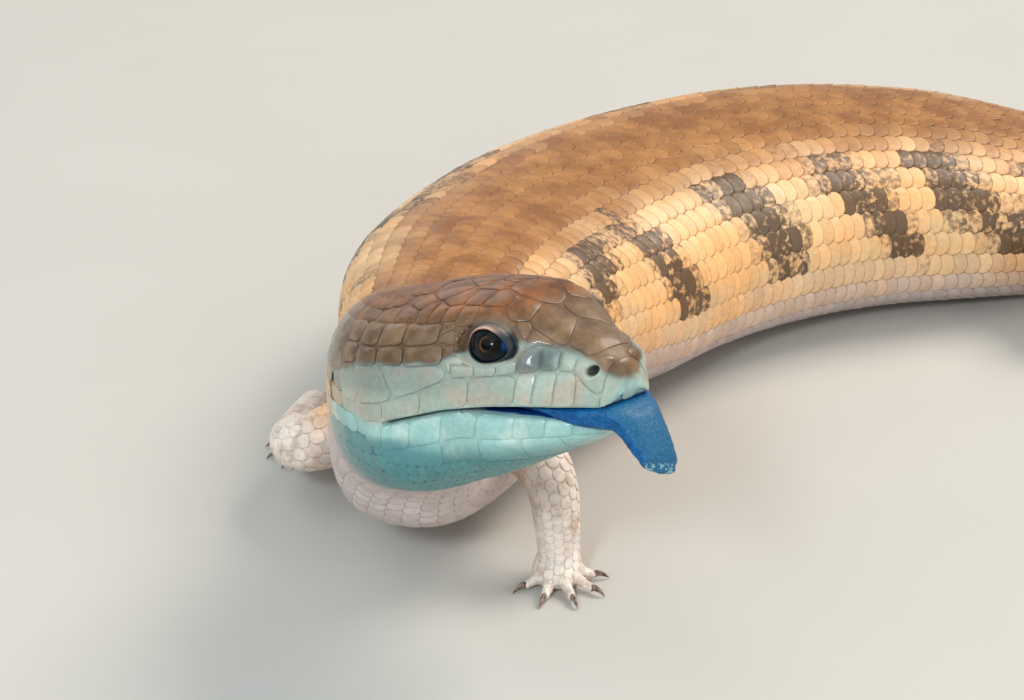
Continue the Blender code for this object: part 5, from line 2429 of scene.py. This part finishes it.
@dataclass
class Tongue:
    """The broad fleshy tongue: spread inside the mouth, hanging over the lower lip."""

    route: tuple[Triple, ...] = (
        (33, 0.7, 13.2), (26, 0.9, 12.2), (20, 0.6, 11.4), (12, -0.4, 10.4), (6, -2.0, 9.2),
        (2, -2.8, 7.0), (-0.4, -3.9, 5.6), (-1.9, -6.0, 4.9), (-3.1, -8.5, 4.5), (-4.1, -11.0, 4.0),
        (-4.8, -12.9, 3.3))
    thickness: Profile = ((0, 0.9), (0.2, 1.4), (0.3, 2.3), (0.4, 4.2), (0.5, 4.4), (0.6, 3.9),
                          (0.8, 3.2), (0.93, 2.4), (1.0, 1.6))
    slant: float = 0.3
    wrap: float = 0.045
    edge: float = 0.5
    rings: int = 150
    sides: int = 56
    groove: float = 0.32
    groove_width: float = 1.1
    ripple: float = 0.13
    fray: float = 0.7
    end_rings: int = 8
    end_length: float = 1.1
    end_closing: Pair = (0.15, 0.985)
    probe: float = 0.05
    top_round: float = 0.62
    groove_run: Pair = (0.42, 0.6)
    under_share: float = 0.4
    slant_run: Pair = (0.6, 1.0)
    fray_run: Pair = (0.86, 1.0)

    def line(self, at: Array) -> tuple[Array, ...]:
        """Distance back, height and half width, at counting the rows of the route."""
        return tuple(profile(tuple((i, row[k]) for i, row in enumerate(self.route)), at) for k in range(3))

    def build(self) -> bpy.types.Object:
        """Loft the tongue with its groove, ridges and ragged tip.

        Returns:
            The object.
        """
        last = len(self.route) - 1
        t = np.concatenate([np.linspace(0, 1, self.rings), np.ones(self.end_rings)])
        closing = np.concatenate([np.zeros(self.rings), np.linspace(*self.end_closing, self.end_rings)])
        s, up, half = self.line(t * last)
        s_after, up_after, _ = self.line(np.minimum(t * last + self.probe, last))
        s_before, up_before, _ = self.line(np.maximum(t * last - self.probe, 0))
        run = np.hypot(s_after - s_before, up_after - up_before)
        back, climb = (s_after - s_before) / run, (up_after - up_before) / run
        shrink = np.sqrt(1 - closing ** 2)
        s = s + back * closing * self.end_length
        up = up + climb * closing * self.end_length
        turn = angles(self.sides)
        across = power(np.cos(turn), self.edge)[None] * (half * shrink)[:, None]
        lift = power(np.sin(turn), self.top_round)[None]
        lift = lift * (profile(self.thickness, t) / 2 * shrink)[:, None]
        top = np.clip(np.sin(turn), 0, 1)[None] + 0 * across
        under = np.clip(-np.sin(turn), 0, 1)[None] + 0 * across
        out = smooth(*self.groove_run, t)[:, None]
        dent = self.groove * np.exp(-(across / self.groove_width) ** 2) * out
        lift = lift - dent * (top - self.under_share * under)
        trail = self.wrap * across ** 2 * np.abs(climb)[:, None]
        longer = self.slant * across * smooth(*self.slant_run, t)[:, None]
        places = self.head_place(s[:, None] + climb[:, None] * lift + trail + back[:, None] * longer,
                                 across, up[:, None] - back[:, None] * lift + climb[:, None] * longer)
        flat = places.reshape(-1, 3)
        rough = mottle(flat, 1.0, 31.0) * 0.5 + mottle(flat, 0.42, 32.0) * 0.4
        ragged = mottle(flat, 2.1, 33.0) * smooth(*self.fray_run, t).repeat(self.sides)
        away = unit(places - places.mean(1, keepdims=True)).reshape(-1, 3)
        flat = flat + away * (self.ripple * rough + self.fray * ragged)[:, None]
        tongue = tube("tongue_surface", flat.reshape(places.shape))
        share = np.stack([top, t[:, None] + 0 * across, np.abs(across) / half[:, None]], -1)
        marks = np.concatenate([share.reshape(-1, 3), [(0, 0, 0)], [(0.5, 1, 0)]])
        write_marks(tongue.data, "pattern", marks)
        return tongue

    @staticmethod
    def head_place(s: Array, left: Array, up: Array) -> Array:
        """World places in the head's straight frame, also ahead of the snout."""
        origin, forward, side, top = FORM.axes(0.0)
        return origin - s[..., None] * forward + left[..., None] * side + up[..., None] * top


@dataclass
class Claws:
    """The five curved claws of one foot."""

    limb: LimbForm
    length: float = 3.3
    radius: float = 0.85
    overlap: float = 0.5
    arch: float = 0.55
    tip_height: float = 0.2
    flat: float = 0.72
    point: float = 0.04
    tip_round: float = 0.008
    taper: float = 0.95
    start: float = 0.45
    floor_gap: float = 0.02
    sides: int = 12
    cuts: int = 3

    def claw(self, index: int) -> bpy.types.Object:
        """Bend one cone along a toe's line, with its tip on the floor.

        Args:
            index: Which toe.

        Returns:
            The claw.
        """
        bpy.ops.object.select_all(action="DESELECT")
        bpy.ops.mesh.primitive_cone_add(vertices=self.sides, radius1=self.radius * MM,
                                        radius2=self.point * MM, depth=self.length * MM)
        claw = bpy.context.object
        bpy.ops.object.mode_set(mode="EDIT")
        bpy.ops.mesh.select_all(action="SELECT")
        bpy.ops.mesh.subdivide(number_cuts=self.cuts)
        bpy.ops.object.mode_set(mode="OBJECT")
        _, _, tip, aim = self.limb.digit_line(index)
        across = np.cross(aim, UP)
        points = points_of(claw)
        share = points[:, 2] / self.length + 0.5
        full = np.sqrt(np.maximum(1 - share, self.tip_round))
        full = full / np.maximum(1 - self.taper * share, 1 - self.taper)
        start = tip + aim * (self.limb.digit_radius * self.start - self.overlap)
        height = tip[2] + (self.tip_height - tip[2]) * share ** 1.5
        height = height + self.arch * np.sin(math.pi * share)
        world = start + aim * (self.length * share)[:, None]
        world = world + across * (points[:, 0] * full * self.flat)[:, None]
        world[:, 2] = np.maximum(height + points[:, 1] * full, self.floor_gap)
        move_points(claw, world)
        face_outwards(claw)
        bpy.ops.object.shade_smooth()
        return claw

    def build(self) -> bpy.types.Object:
        """Make the five claws one piece.

        Returns:
            The object.
        """
        claws = [self.claw(index) for index in range(DIGIT_COUNT)]
        join(claws[0], claws[1:])
        claws[0].name = f"{self.limb.name}_claws"
        return claws[0]


# Finishes.

Socket = bpy.types.NodeSocket
Value = Socket | float | str | tuple[float, ...]


def tint(code: str) -> Quad:
    """Linear colour of a screen colour written as six hex digits."""
    parts = [int(code[i:i + 2], 16) / 255 for i in (0, 2, 4)]
    red, green, blue = (c / 12.92 if c <= 0.04045 else ((c + 0.055) / 1.055) ** 2.4 for c in parts)
    return red, green, blue, 1.0


class Nodes:
    """Short ways to add and link a material's nodes."""

    def __init__(self, name: str) -> None:
        """Start a material with its plain shader.

        Args:
            name: The material's name.
        """
        self.material = bpy.data.materials.new(name)
        self.material.use_nodes = True
        self.tree = self.material.node_tree
        self.shader = self.tree.nodes["Principled BSDF"]

    def add(self, kind: str, *values: Value, out: int | str = 0) -> Socket:
        """Add one node.

        Args:
            kind: The node's type, less its ShaderNode.
            values: What feeds its inputs, in order.
            out: Which output to return.

        Returns:
            That output.
        """
        node = self.tree.nodes.new("ShaderNode" + kind)
        for socket, value in zip(node.inputs, values):
            self.feed(socket, value)
        return node.outputs[out]

    def feed(self, socket: Socket, value: Value) -> None:
        """Link a socket to another one, or set its value, a colour also by its hex digits.

        Args:
            socket: The socket.
            value: What feeds it.
        """
        if isinstance(value, Socket):
            self.tree.links.new(value, socket)
        else:
            socket.default_value = tint(value) if isinstance(value, str) else value

    def set(self, **values: Value) -> None:
        """Set the shader's sockets by name, with _ for a space."""
        for name, value in values.items():
            self.feed(self.shader.inputs[name.replace("_", " ")], value)

    def parts(self, title: str) -> tuple[Socket, ...]:
        """The three numbers of a stored attribute.

        Args:
            title: The attribute's name.

        Returns:
            The three sockets.
        """
        read = self.tree.nodes.new("ShaderNodeAttribute")
        read.attribute_name = title
        return tuple(self.add("SeparateXYZ", read.outputs["Vector"]).node.outputs)

    def noise(self, size: float, detail: float = 3.0) -> Socket:
        """Smooth noise whose patches are about size millimetres across.

        Args:
            size: Width of a patch.
            detail: How many finer layers it has.

        Returns:
            Its strength.
        """
        noise = self.add("TexNoise", self.add("TexCoord", out="Object"))
        for name, value in (("Scale", 1 / (size * MM)), ("Detail", detail), ("Roughness", 0.55)):
            noise.node.inputs[name].default_value = value
        return noise

    def cells(self, size: float) -> Socket:
        """Distance to the nearest of scattered points about size millimetres apart.

        Args:
            size: How far apart the points are.

        Returns:
            The distance's socket.
        """
        cells = self.add("TexVoronoi", self.add("TexCoord", out="Object"), out="Distance")
        cells.node.inputs["Scale"].default_value = 1 / (size * MM)
        return cells

    def mix(self, share: Value, low: Value, high: Value, blend: str = "MIX") -> Socket:
        """Mix of two colours.

        Args:
            share: How much of the second there is.
            low: The first.
            high: The second.
            blend: The way to mix.

        Returns:
            The colour.
        """
        node = self.tree.nodes.new("ShaderNodeMix")
        node.data_type = "RGBA"
        node.blend_type = blend
        for index, value in ((0, share), (6, low), (7, high)):
            self.feed(node.inputs[index], value)
        return node.outputs[2]

    def cloud(self, size: float, low: float, high: float, first: Value, second: Value) -> Socket:
        """Mix of two colours by noise, from one to the other as the noise runs from low to high."""
        return self.mix(self.span(self.noise(size), low, high), first, second)

    def math(self, operation: str, first: Value, second: Value = 0.5) -> Socket:
        """One sum.

        Args:
            operation: What is done.
            first: The first value.
            second: The second one.

        Returns:
            The sum's socket.
        """
        result = self.add("Math", first, second)
        result.node.operation = operation
        return result

    def times(self, first: Value, second: Value) -> Socket:
        """One number times another."""
        return self.math("MULTIPLY", first, second)

    def span(self, value: Value, low: float, high: float, to_low: float = 0.0, to_high: float = 1.0
             ) -> Socket:
        """Value moved smoothly from one range to another, held at its ends.

        Args:
            value: The value.
            low: Where its range starts.
            high: Where its range ends.
            to_low: The new range's start.
            to_high: The new range's end.

        Returns:
            The moved value's socket.
        """
        result = self.add("MapRange", value, low, high, to_low, to_high)
        result.node.interpolation_type = "SMOOTHSTEP"
        return result

    def uneven(self, size: float, low: float, high: float) -> Socket:
        """A number that wanders between two limits over patches of about size millimetres."""
        return self.span(self.noise(size), 0.3, 0.7, low, high)

    def grey(self, value: Value) -> Socket:
        """A grey of a given strength."""
        return self.add("CombineXYZ", value, value, value)

    def bump(self, height: Value, depth: float, below: Socket | None = None) -> Socket:
        """Relief, over another one if given.

        Args:
            height: The height.
            depth: Millimetres for a height of 1.
            below: Another relief.

        Returns:
            The direction, for a shader.
        """
        node = self.tree.nodes.new("ShaderNodeBump")
        node.inputs["Strength"].default_value = 1.0
        node.inputs["Distance"].default_value = depth * MM
        self.feed(node.inputs["Height"], height)
        if below is not None:
            self.feed(node.inputs["Normal"], below)
        return node.outputs[0]


@dataclass(frozen=True)
class HideFinish:
    """Scaly hide: tan back, banded orange flank, pale belly and legs; grey-green cheeks, a pale aqua jaw and
    a dark teal throat, whose cool tint and the throat's darkness are partly painted shade under the head.
    """

    back: str = "8C5829"
    back_light: str = "AB7640"
    flank: str = "E7BD8C"
    flank_warm: str = "EFB578"
    belly: str = "C6B6B2"
    dark: str = "3A281C"
    leg: str = "E9DBCF"
    leg_dusky: str = "CBB2A2"
    crown: str = "603610"
    crown_light: str = "8A5120"
    brow: str = "63492F"
    brow_light: str = "83664A"
    # Cheeks, jaw and throat: pale skin with a painted cool shade tint, darkest at the throat, which is
    # painted shade under the head.
    cheek: str = "A2B0A2"
    cheek_warm: str = "B2A998"
    jaw: str = "93BDB8"
    jaw_light: str = "B4CFC6"
    throat: str = "4E878A"
    head_dark: str = "2E3E46"
    seam: str = "5A4534"
    leg_seam: str = "9C8573"
    head_seam: str = "40403A"
    lid: str = "14222A"
    # Painted shade under the brow.
    brow_shade: str = "59605C"
    lid_edge: str = "D3A695"
    # Painted shade in the nostrils and ear openings.
    pit_shade: str = "141210"
    mouth: str = "0A3F86"

    def body(self, nodes: Nodes, brown: Value, pale: Value) -> Socket:
        """Colour of neck, trunk and tail without their bands.

        Args:
            nodes: The material's nodes.
            brown: Share of back colour, against flank.
            pale: Share of belly colour.

        Returns:
            The colour's socket.
        """
        back = nodes.cloud(9.0, 0.35, 0.68, self.back, self.back_light)
        flank = nodes.cloud(16.0, 0.38, 0.62, self.flank, self.flank_warm)
        return nodes.mix(pale, nodes.mix(brown, flank, back), self.belly)

    def head(self, nodes: Nodes, brown: Value, pale: Value) -> Socket:
        """Colour of head and jaw; the cool tint of cheek and jaw and the darker teal throat are partly
        painted shade under the head.

        Args:
            nodes: The material's nodes.
            brown: Share of brown.
            pale: Share of pale.

        Returns:
            The colour.
        """
        crown = nodes.cloud(5.0, 0.35, 0.66, self.crown, self.crown_light)
        brow = nodes.cloud(5.0, 0.35, 0.66, self.brow, self.brow_light)
        cheek = nodes.cloud(7.0, 0.42, 0.66, self.cheek, self.cheek_warm)
        jaw = nodes.cloud(8.0, 0.45, 0.65, self.jaw, self.jaw_light)
        # From cheek to jaw to throat, cooler and then darker: partly painted shade under the head.
        below = nodes.mix(nodes.span(pale, 0.05, 0.5), cheek, jaw)
        below = nodes.mix(nodes.span(pale, 0.5, 1.0), below, self.throat)
        return nodes.mix(brown, below, nodes.mix(pale, crown, brow))

    def make(self, name: str, gloss: float = 0.0) -> bpy.types.Material:
        """The material, reading the marks stored on skin, shields and scales.

        Args:
            name: The material's name.
            gloss: How much glossier than the body's scales it is, from 0 to 1.

        Returns:
            The material.
        """
        nodes = Nodes(name)
        dark, brown, pale = nodes.parts("pattern")
        head, limb, mouth = nodes.parts("region")
        tone, rim, pit_shade = nodes.parts("scale")
        # Lid darkness, lid edge and painted shade under the brow.
        lid, edge, brow_shade = nodes.parts("detail")
        leg = nodes.cloud(4.0, 0.45, 0.7, self.leg, self.leg_dusky)
        colour = nodes.mix(limb, self.body(nodes, brown, pale), leg)
        colour = nodes.mix(head, colour, self.head(nodes, brown, pale))
        wander = nodes.math("ADD", nodes.span(tone, 0.0, 1.0, 0.6, 1.4), nodes.uneven(1.4, -0.45, 0.45))
        fleck = nodes.span(nodes.times(dark, wander), 0.2, 0.85, 0.0, 0.9)
        colour = nodes.mix(nodes.mix(head, fleck, dark), colour, nodes.mix(head, self.dark, self.head_dark))
        shade = nodes.math("ADD", nodes.span(tone, 0.0, 1.0, 0.87, 1.13), nodes.uneven(1.1, -0.07, 0.07))
        colour = nodes.mix(1.0, colour, nodes.grey(shade), "MULTIPLY")
        seam = nodes.mix(limb, nodes.mix(head, self.seam, self.head_seam), self.leg_seam)
        # Laid over the colour: seams, painted shade under the brows, the dark lids, their pale edges,
        # painted shade in the nostrils and ears, and the mouth's lining.
        for share, over in ((nodes.times(rim, 0.62), seam), (brow_shade, self.brow_shade), (lid, self.lid),
                            (edge, self.lid_edge), (nodes.times(pit_shade, 0.93), self.pit_shade),
                            (mouth, self.mouth)):
            colour = nodes.mix(share, colour, over)
        matt = nodes.uneven(2.4, 0.38 - 0.04 * gloss, 0.52 - 0.06 * gloss)
        matt = nodes.mix(pit_shade, nodes.grey(matt), (0.95, 0.95, 0.95, 1.0))
        relief = nodes.bump(nodes.noise(0.3, 2.0), 0.035, nodes.bump(nodes.noise(1.3, 2.0), 0.07))
        nodes.set(Base_Color=colour, Roughness=matt, Normal=relief, Specular_IOR_Level=0.4,
                  Coat_Weight=0.1 + 0.14 * gloss, Coat_Roughness=0.22 - 0.15 * gloss)
        return nodes.material


@dataclass(frozen=True)
class TongueFinish:
    """Moist blue flesh, lighter on top, with fine papillae; the lighter top and deeper blue sides are partly
    its own colour and partly painted light on the top face and painted shade on the sides.
    """

    top: str = "1F5B80"
    side: str = "03609A"
    deep: str = "03447C"
    fleck: str = "5C9AA8"
    fray: str = "86A9AC"

    def make(self) -> bpy.types.Material:
        """Make the finish.

        Returns:
            The material.
        """
        nodes = Nodes("tongue_flesh")
        top, length, _ = nodes.parts("pattern")
        # The top face takes the lighter colour and the sides the deeper blue: partly painted light and
        # shade.
        upper = nodes.times(nodes.span(top, 0.45, 0.75), nodes.span(length, 0.4, 0.6))
        colour = nodes.mix(upper, nodes.cloud(2.2, 0.35, 0.7, self.side, self.deep), self.top)
        colour = nodes.mix(nodes.span(nodes.cells(0.5), 0.1, 0.5, 0.24, 0.0), colour, self.fleck)
        frayed = nodes.times(nodes.span(length, 0.95, 0.99), nodes.span(nodes.noise(0.9), 0.48, 0.6))
        relief = nodes.bump(nodes.cells(0.45), -0.06, nodes.bump(nodes.noise(1.6, 3.0), 0.16))
        nodes.set(Base_Color=nodes.mix(frayed, colour, self.fray), Roughness=nodes.uneven(1.0, 0.38, 0.55),
                  Normal=relief, Specular_IOR_Level=0.22, Coat_Weight=0.04, Coat_Roughness=0.25)
        return nodes.material


@dataclass(frozen=True)
class EyeFinish:
    """Dark iris with a copper ring round the pupil, under a clear wet gloss."""

    pupil: float = 1.08
    ring: float = 1.28
    iris: float = 2.75
    copper: str = "5A3A24"
    brown: str = "090B0A"
    fleck: str = "17150F"
    white: str = "0A141C"
    corner: str = "113E78"
    black: str = "020202"

    def make(self, radius: float) -> bpy.types.Material:
        """The material for a ball of this radius.

        Args:
            radius: The ball's radius, in millimetres.

        Returns:
            The material.
        """
        nodes = Nodes("eye_wet")
        ahead, over, _ = nodes.parts("iris")
        squares = nodes.math("ADD", nodes.times(ahead, ahead), nodes.times(over, over))
        away = nodes.times(nodes.math("SQRT", squares), radius)
        angle = nodes.math("ARCTAN2", over, ahead)
        rays = nodes.math("ADD", nodes.times(angle, 46.0), nodes.times(nodes.noise(0.7), 16.0))
        rays = nodes.math("SINE", rays)
        iris = nodes.mix(nodes.span(rays, -1.0, 1.0, 0.0, 0.6), self.brown, self.fleck)
        copper = nodes.mix(nodes.span(ahead, -0.22, 0.1, 0.0, 0.9), self.copper, iris)
        colour = nodes.mix(nodes.span(away, self.ring, self.ring + 0.4), copper, iris)
        colour = nodes.mix(nodes.span(away, self.pupil - 0.06, self.pupil + 0.06), self.black, colour)
        blue = nodes.times(nodes.span(ahead, 0.4, 0.55), nodes.span(over, -0.25, 0.05))
        white = nodes.mix(blue, self.white, self.corner)
        colour = nodes.mix(nodes.span(away, self.iris - 0.35, self.iris + 0.1), colour, white)
        nodes.set(Base_Color=colour, Roughness=0.35, Specular_IOR_Level=0.02, Coat_Weight=1.0,
                  Coat_Roughness=0.02, Coat_IOR=1.23)
        return nodes.material


@dataclass(frozen=True)
class ClawFinish:
    """Brown horn, clouded light and dark, with a fine bump and a light coat."""

    light: str = "9C8570"
    dark: str = "4A3A2C"

    def make(self) -> bpy.types.Material:
        """Make the finish.

        Returns:
            The material.
        """
        nodes = Nodes("claw_horn")
        nodes.set(Base_Color=nodes.cloud(0.9, 0.35, 0.65, self.light, self.dark),
                  Roughness=nodes.uneven(0.5, 0.3, 0.45), Normal=nodes.bump(nodes.noise(0.3), 0.05),
                  Coat_Weight=0.2, Coat_Roughness=0.2)
        return nodes.material


# The stage.

@dataclass
class Studio:
    """Plain floor, soft lights and the camera."""

    eye: Triple = (-24.8, -561.2, 277.6)
    tilt_down: float = 26.9
    lens: float = 87.26
    sensor: float = 36.0
    floor_size: float = 6000.0
    paper: tuple[str, str] = ("BDBAB4", "C4C1BB")
    lights: tuple[tuple[str, Triple, Triple, float, float, Triple], ...] = (
        ("key", (1080, 640, 1560), (20, 40, 30), 1090, 34.0, (1.0, 0.91, 0.8)),
        ("cool_fill", (-1180, -800, 1560), (-60, -120, 50), 2400, 17.5, (0.86, 0.97, 1.0)),
        ("catchlight", (-260, -800, 560), (-40, -140, 60), 130, 3.2, (0.86, 0.96, 1.0)),
        ("side_fill", (1450, -1090, 760), (0, 0, 20), 1300, 9.0, (1.0, 0.96, 0.9)),
        ("back_rim", (-780, 1610, 960), (0, 0, 20), 1300, 5.5, (1.0, 0.97, 0.94)))
    daylight: float = 0.42
    sky: Quad = (0.86, 0.9, 0.95, 1.0)
    floor_drop: float = 0.02

    def build(self) -> None:
        """Make floor, lights, world and camera."""
        self.floor()
        for name, place, aim, size, strength, colour in self.lights:
            self.light(name, np.array(place, float), np.array(aim, float), size, strength, colour)
        world = bpy.data.worlds.new("studio")
        world.use_nodes = True
        background = world.node_tree.nodes["Background"]
        background.inputs["Color"].default_value = self.sky
        background.inputs["Strength"].default_value = self.daylight
        bpy.context.scene.world = world
        bpy.context.scene.view_settings.view_transform = "Standard"
        data = bpy.data.cameras.new("camera")
        data.lens = self.lens
        data.sensor_width = self.sensor
        data.clip_start = 0.01
        camera = bpy.data.objects.new("camera", data)
        camera.location = Vector(self.eye) * MM
        camera.rotation_euler = (math.radians(90 - self.tilt_down), 0, 0)
        bpy.context.scene.collection.objects.link(camera)
        bpy.context.scene.camera = camera

    def floor(self) -> None:
        """Pale matt floor."""
        bpy.ops.object.select_all(action="DESELECT")
        bpy.ops.mesh.primitive_plane_add(size=self.floor_size * MM, location=(0, 0, -self.floor_drop * MM))
        plane = bpy.context.object
        plane.name = "floor"
        nodes = Nodes("floor_paper")
        colour = nodes.mix(nodes.noise(60.0), *self.paper)
        nodes.set(Base_Color=colour, Roughness=0.8, Specular_IOR_Level=0.2)
        plane.data.materials.append(nodes.material)

    @staticmethod
    def light(name: str, place: Array, aim: Array, size: float, strength: float, colour: Triple) -> None:
        """One soft square light, aimed at a point.

        Args:
            name: The light's name.
            place: Where it hangs.
            aim: The point that it faces.
            size: Length of one side.
            strength: Its power in watts.
            colour: Its colour.
        """
        data = bpy.data.lights.new(name, "AREA")
        data.size = size * MM
        data.energy = strength
        data.color = colour
        lamp = bpy.data.objects.new(name, data)
        lamp.location = Vector(place * MM)
        lamp.rotation_euler = Vector(aim - place).to_track_quat("-Z", "Y").to_euler()
        bpy.context.scene.collection.objects.link(lamp)


NECK_START = 41.0
TRUNK_SPLIT = 205.0
VENT = 352.0
TAIL_ROWS_SPLIT = 462.0
TAIL_END = 564.0
BODY_ROWS = 36
OUTSIDE_BODY = 0.8
EAR_MARGIN = 0.9


def build_body_coats(skin: Skin, hide_finish: bpy.types.Material) -> None:
    """Scales of neck, trunk, tail and throat.

    Args:
        skin: The finished skin.
        hide_finish: The hide's finish.
    """
    def clear_of_ears(world: Array) -> Array:
        """Which roots are off the ear openings."""
        away = np.minimum(*(skin.ear_away(side, world) for side in Side))
        return away > skin.ear_radius + EAR_MARGIN

    spans = (("scales_neck_chest", NECK_START, TRUNK_SPLIT), ("scales_trunk", TRUNK_SPLIT, VENT))
    for number, (name, start, end) in enumerate(spans):
        coat = ScaleCoat(name, skin.bare, 20 + number)
        BodyRows(start, end, BODY_ROWS).lay(coat, (start, end), edge=number == 0)
        settle(coat.build(clear_of_ears), hide_finish)
    tail = ScaleCoat("scales_tail", skin.bare, 30)
    BodyRows(VENT, TAIL_ROWS_SPLIT, 24).lay(tail, (VENT, TAIL_END))
    BodyRows(TAIL_ROWS_SPLIT, TAIL_END - 3, 14).lay(tail, (VENT, TAIL_END))
    settle(tail.build(), hide_finish)
    throat = ScaleCoat("scales_throat", skin.bare, 31)
    ThroatRows().lay(throat)
    settle(throat.build(), hide_finish)


def shield_neighbours() -> Array:
    """Roots of the first body scales behind the head's shields.

    Returns:
        World places.
    """
    coat = ScaleCoat("edge", None, 0)
    span = (NECK_START, 70.0)
    BodyRows(*span, BODY_ROWS).lay(coat, span, edge=True)
    return np.concatenate([batch[0] for batch in coat.roots])


def main() -> None:
    """Build the animal piece by piece."""
    logging.basicConfig(level=logging.INFO, format="%(name)s: %(message)s")
    Studio().build()
    finish = HideFinish()
    hide_finish = finish.make("scaly_hide")
    shield_finish = finish.make("glossy_shields", 1.0)
    skin = Skin()
    hide = skin.build()
    settle(hide, hide_finish, flesh_nodes())

    shields = ShieldCoat(skin.bare, shield_neighbours()).build(hide)
    settle(shields, shield_finish)
    build_body_coats(skin, hide_finish)
    for first, name, rows in ((0, "scales_fore_legs", 14), (2, "scales_hind_legs", 16)):
        pair = ScaleCoat(name, skin.bare, 40 + first)
        for index in (first, first + 1):
            LimbRows(LIMBS[index], index, rows).lay(pair)
        coat = pair.build(lambda world: FORM.locate(world)[2] > OUTSIDE_BODY)
        settle(coat, hide_finish)

    eye_finish = EyeFinish().make(EYES[0].radius)
    for eye in EYES:
        settle(EyeBall(eye).build(), eye_finish, (f"eye_{eye.side.name.lower()}",))
    settle(Tongue().build(), TongueFinish().make(), ("tongue",))
    horn = ClawFinish().make()
    for limb in LIMBS:
        names = tuple(f"{limb.name}_claw_{index + 1}" for index in range(DIGIT_COUNT))
        settle(Claws(limb).build(), horn, names)


if __name__ == "__main__":
    main()
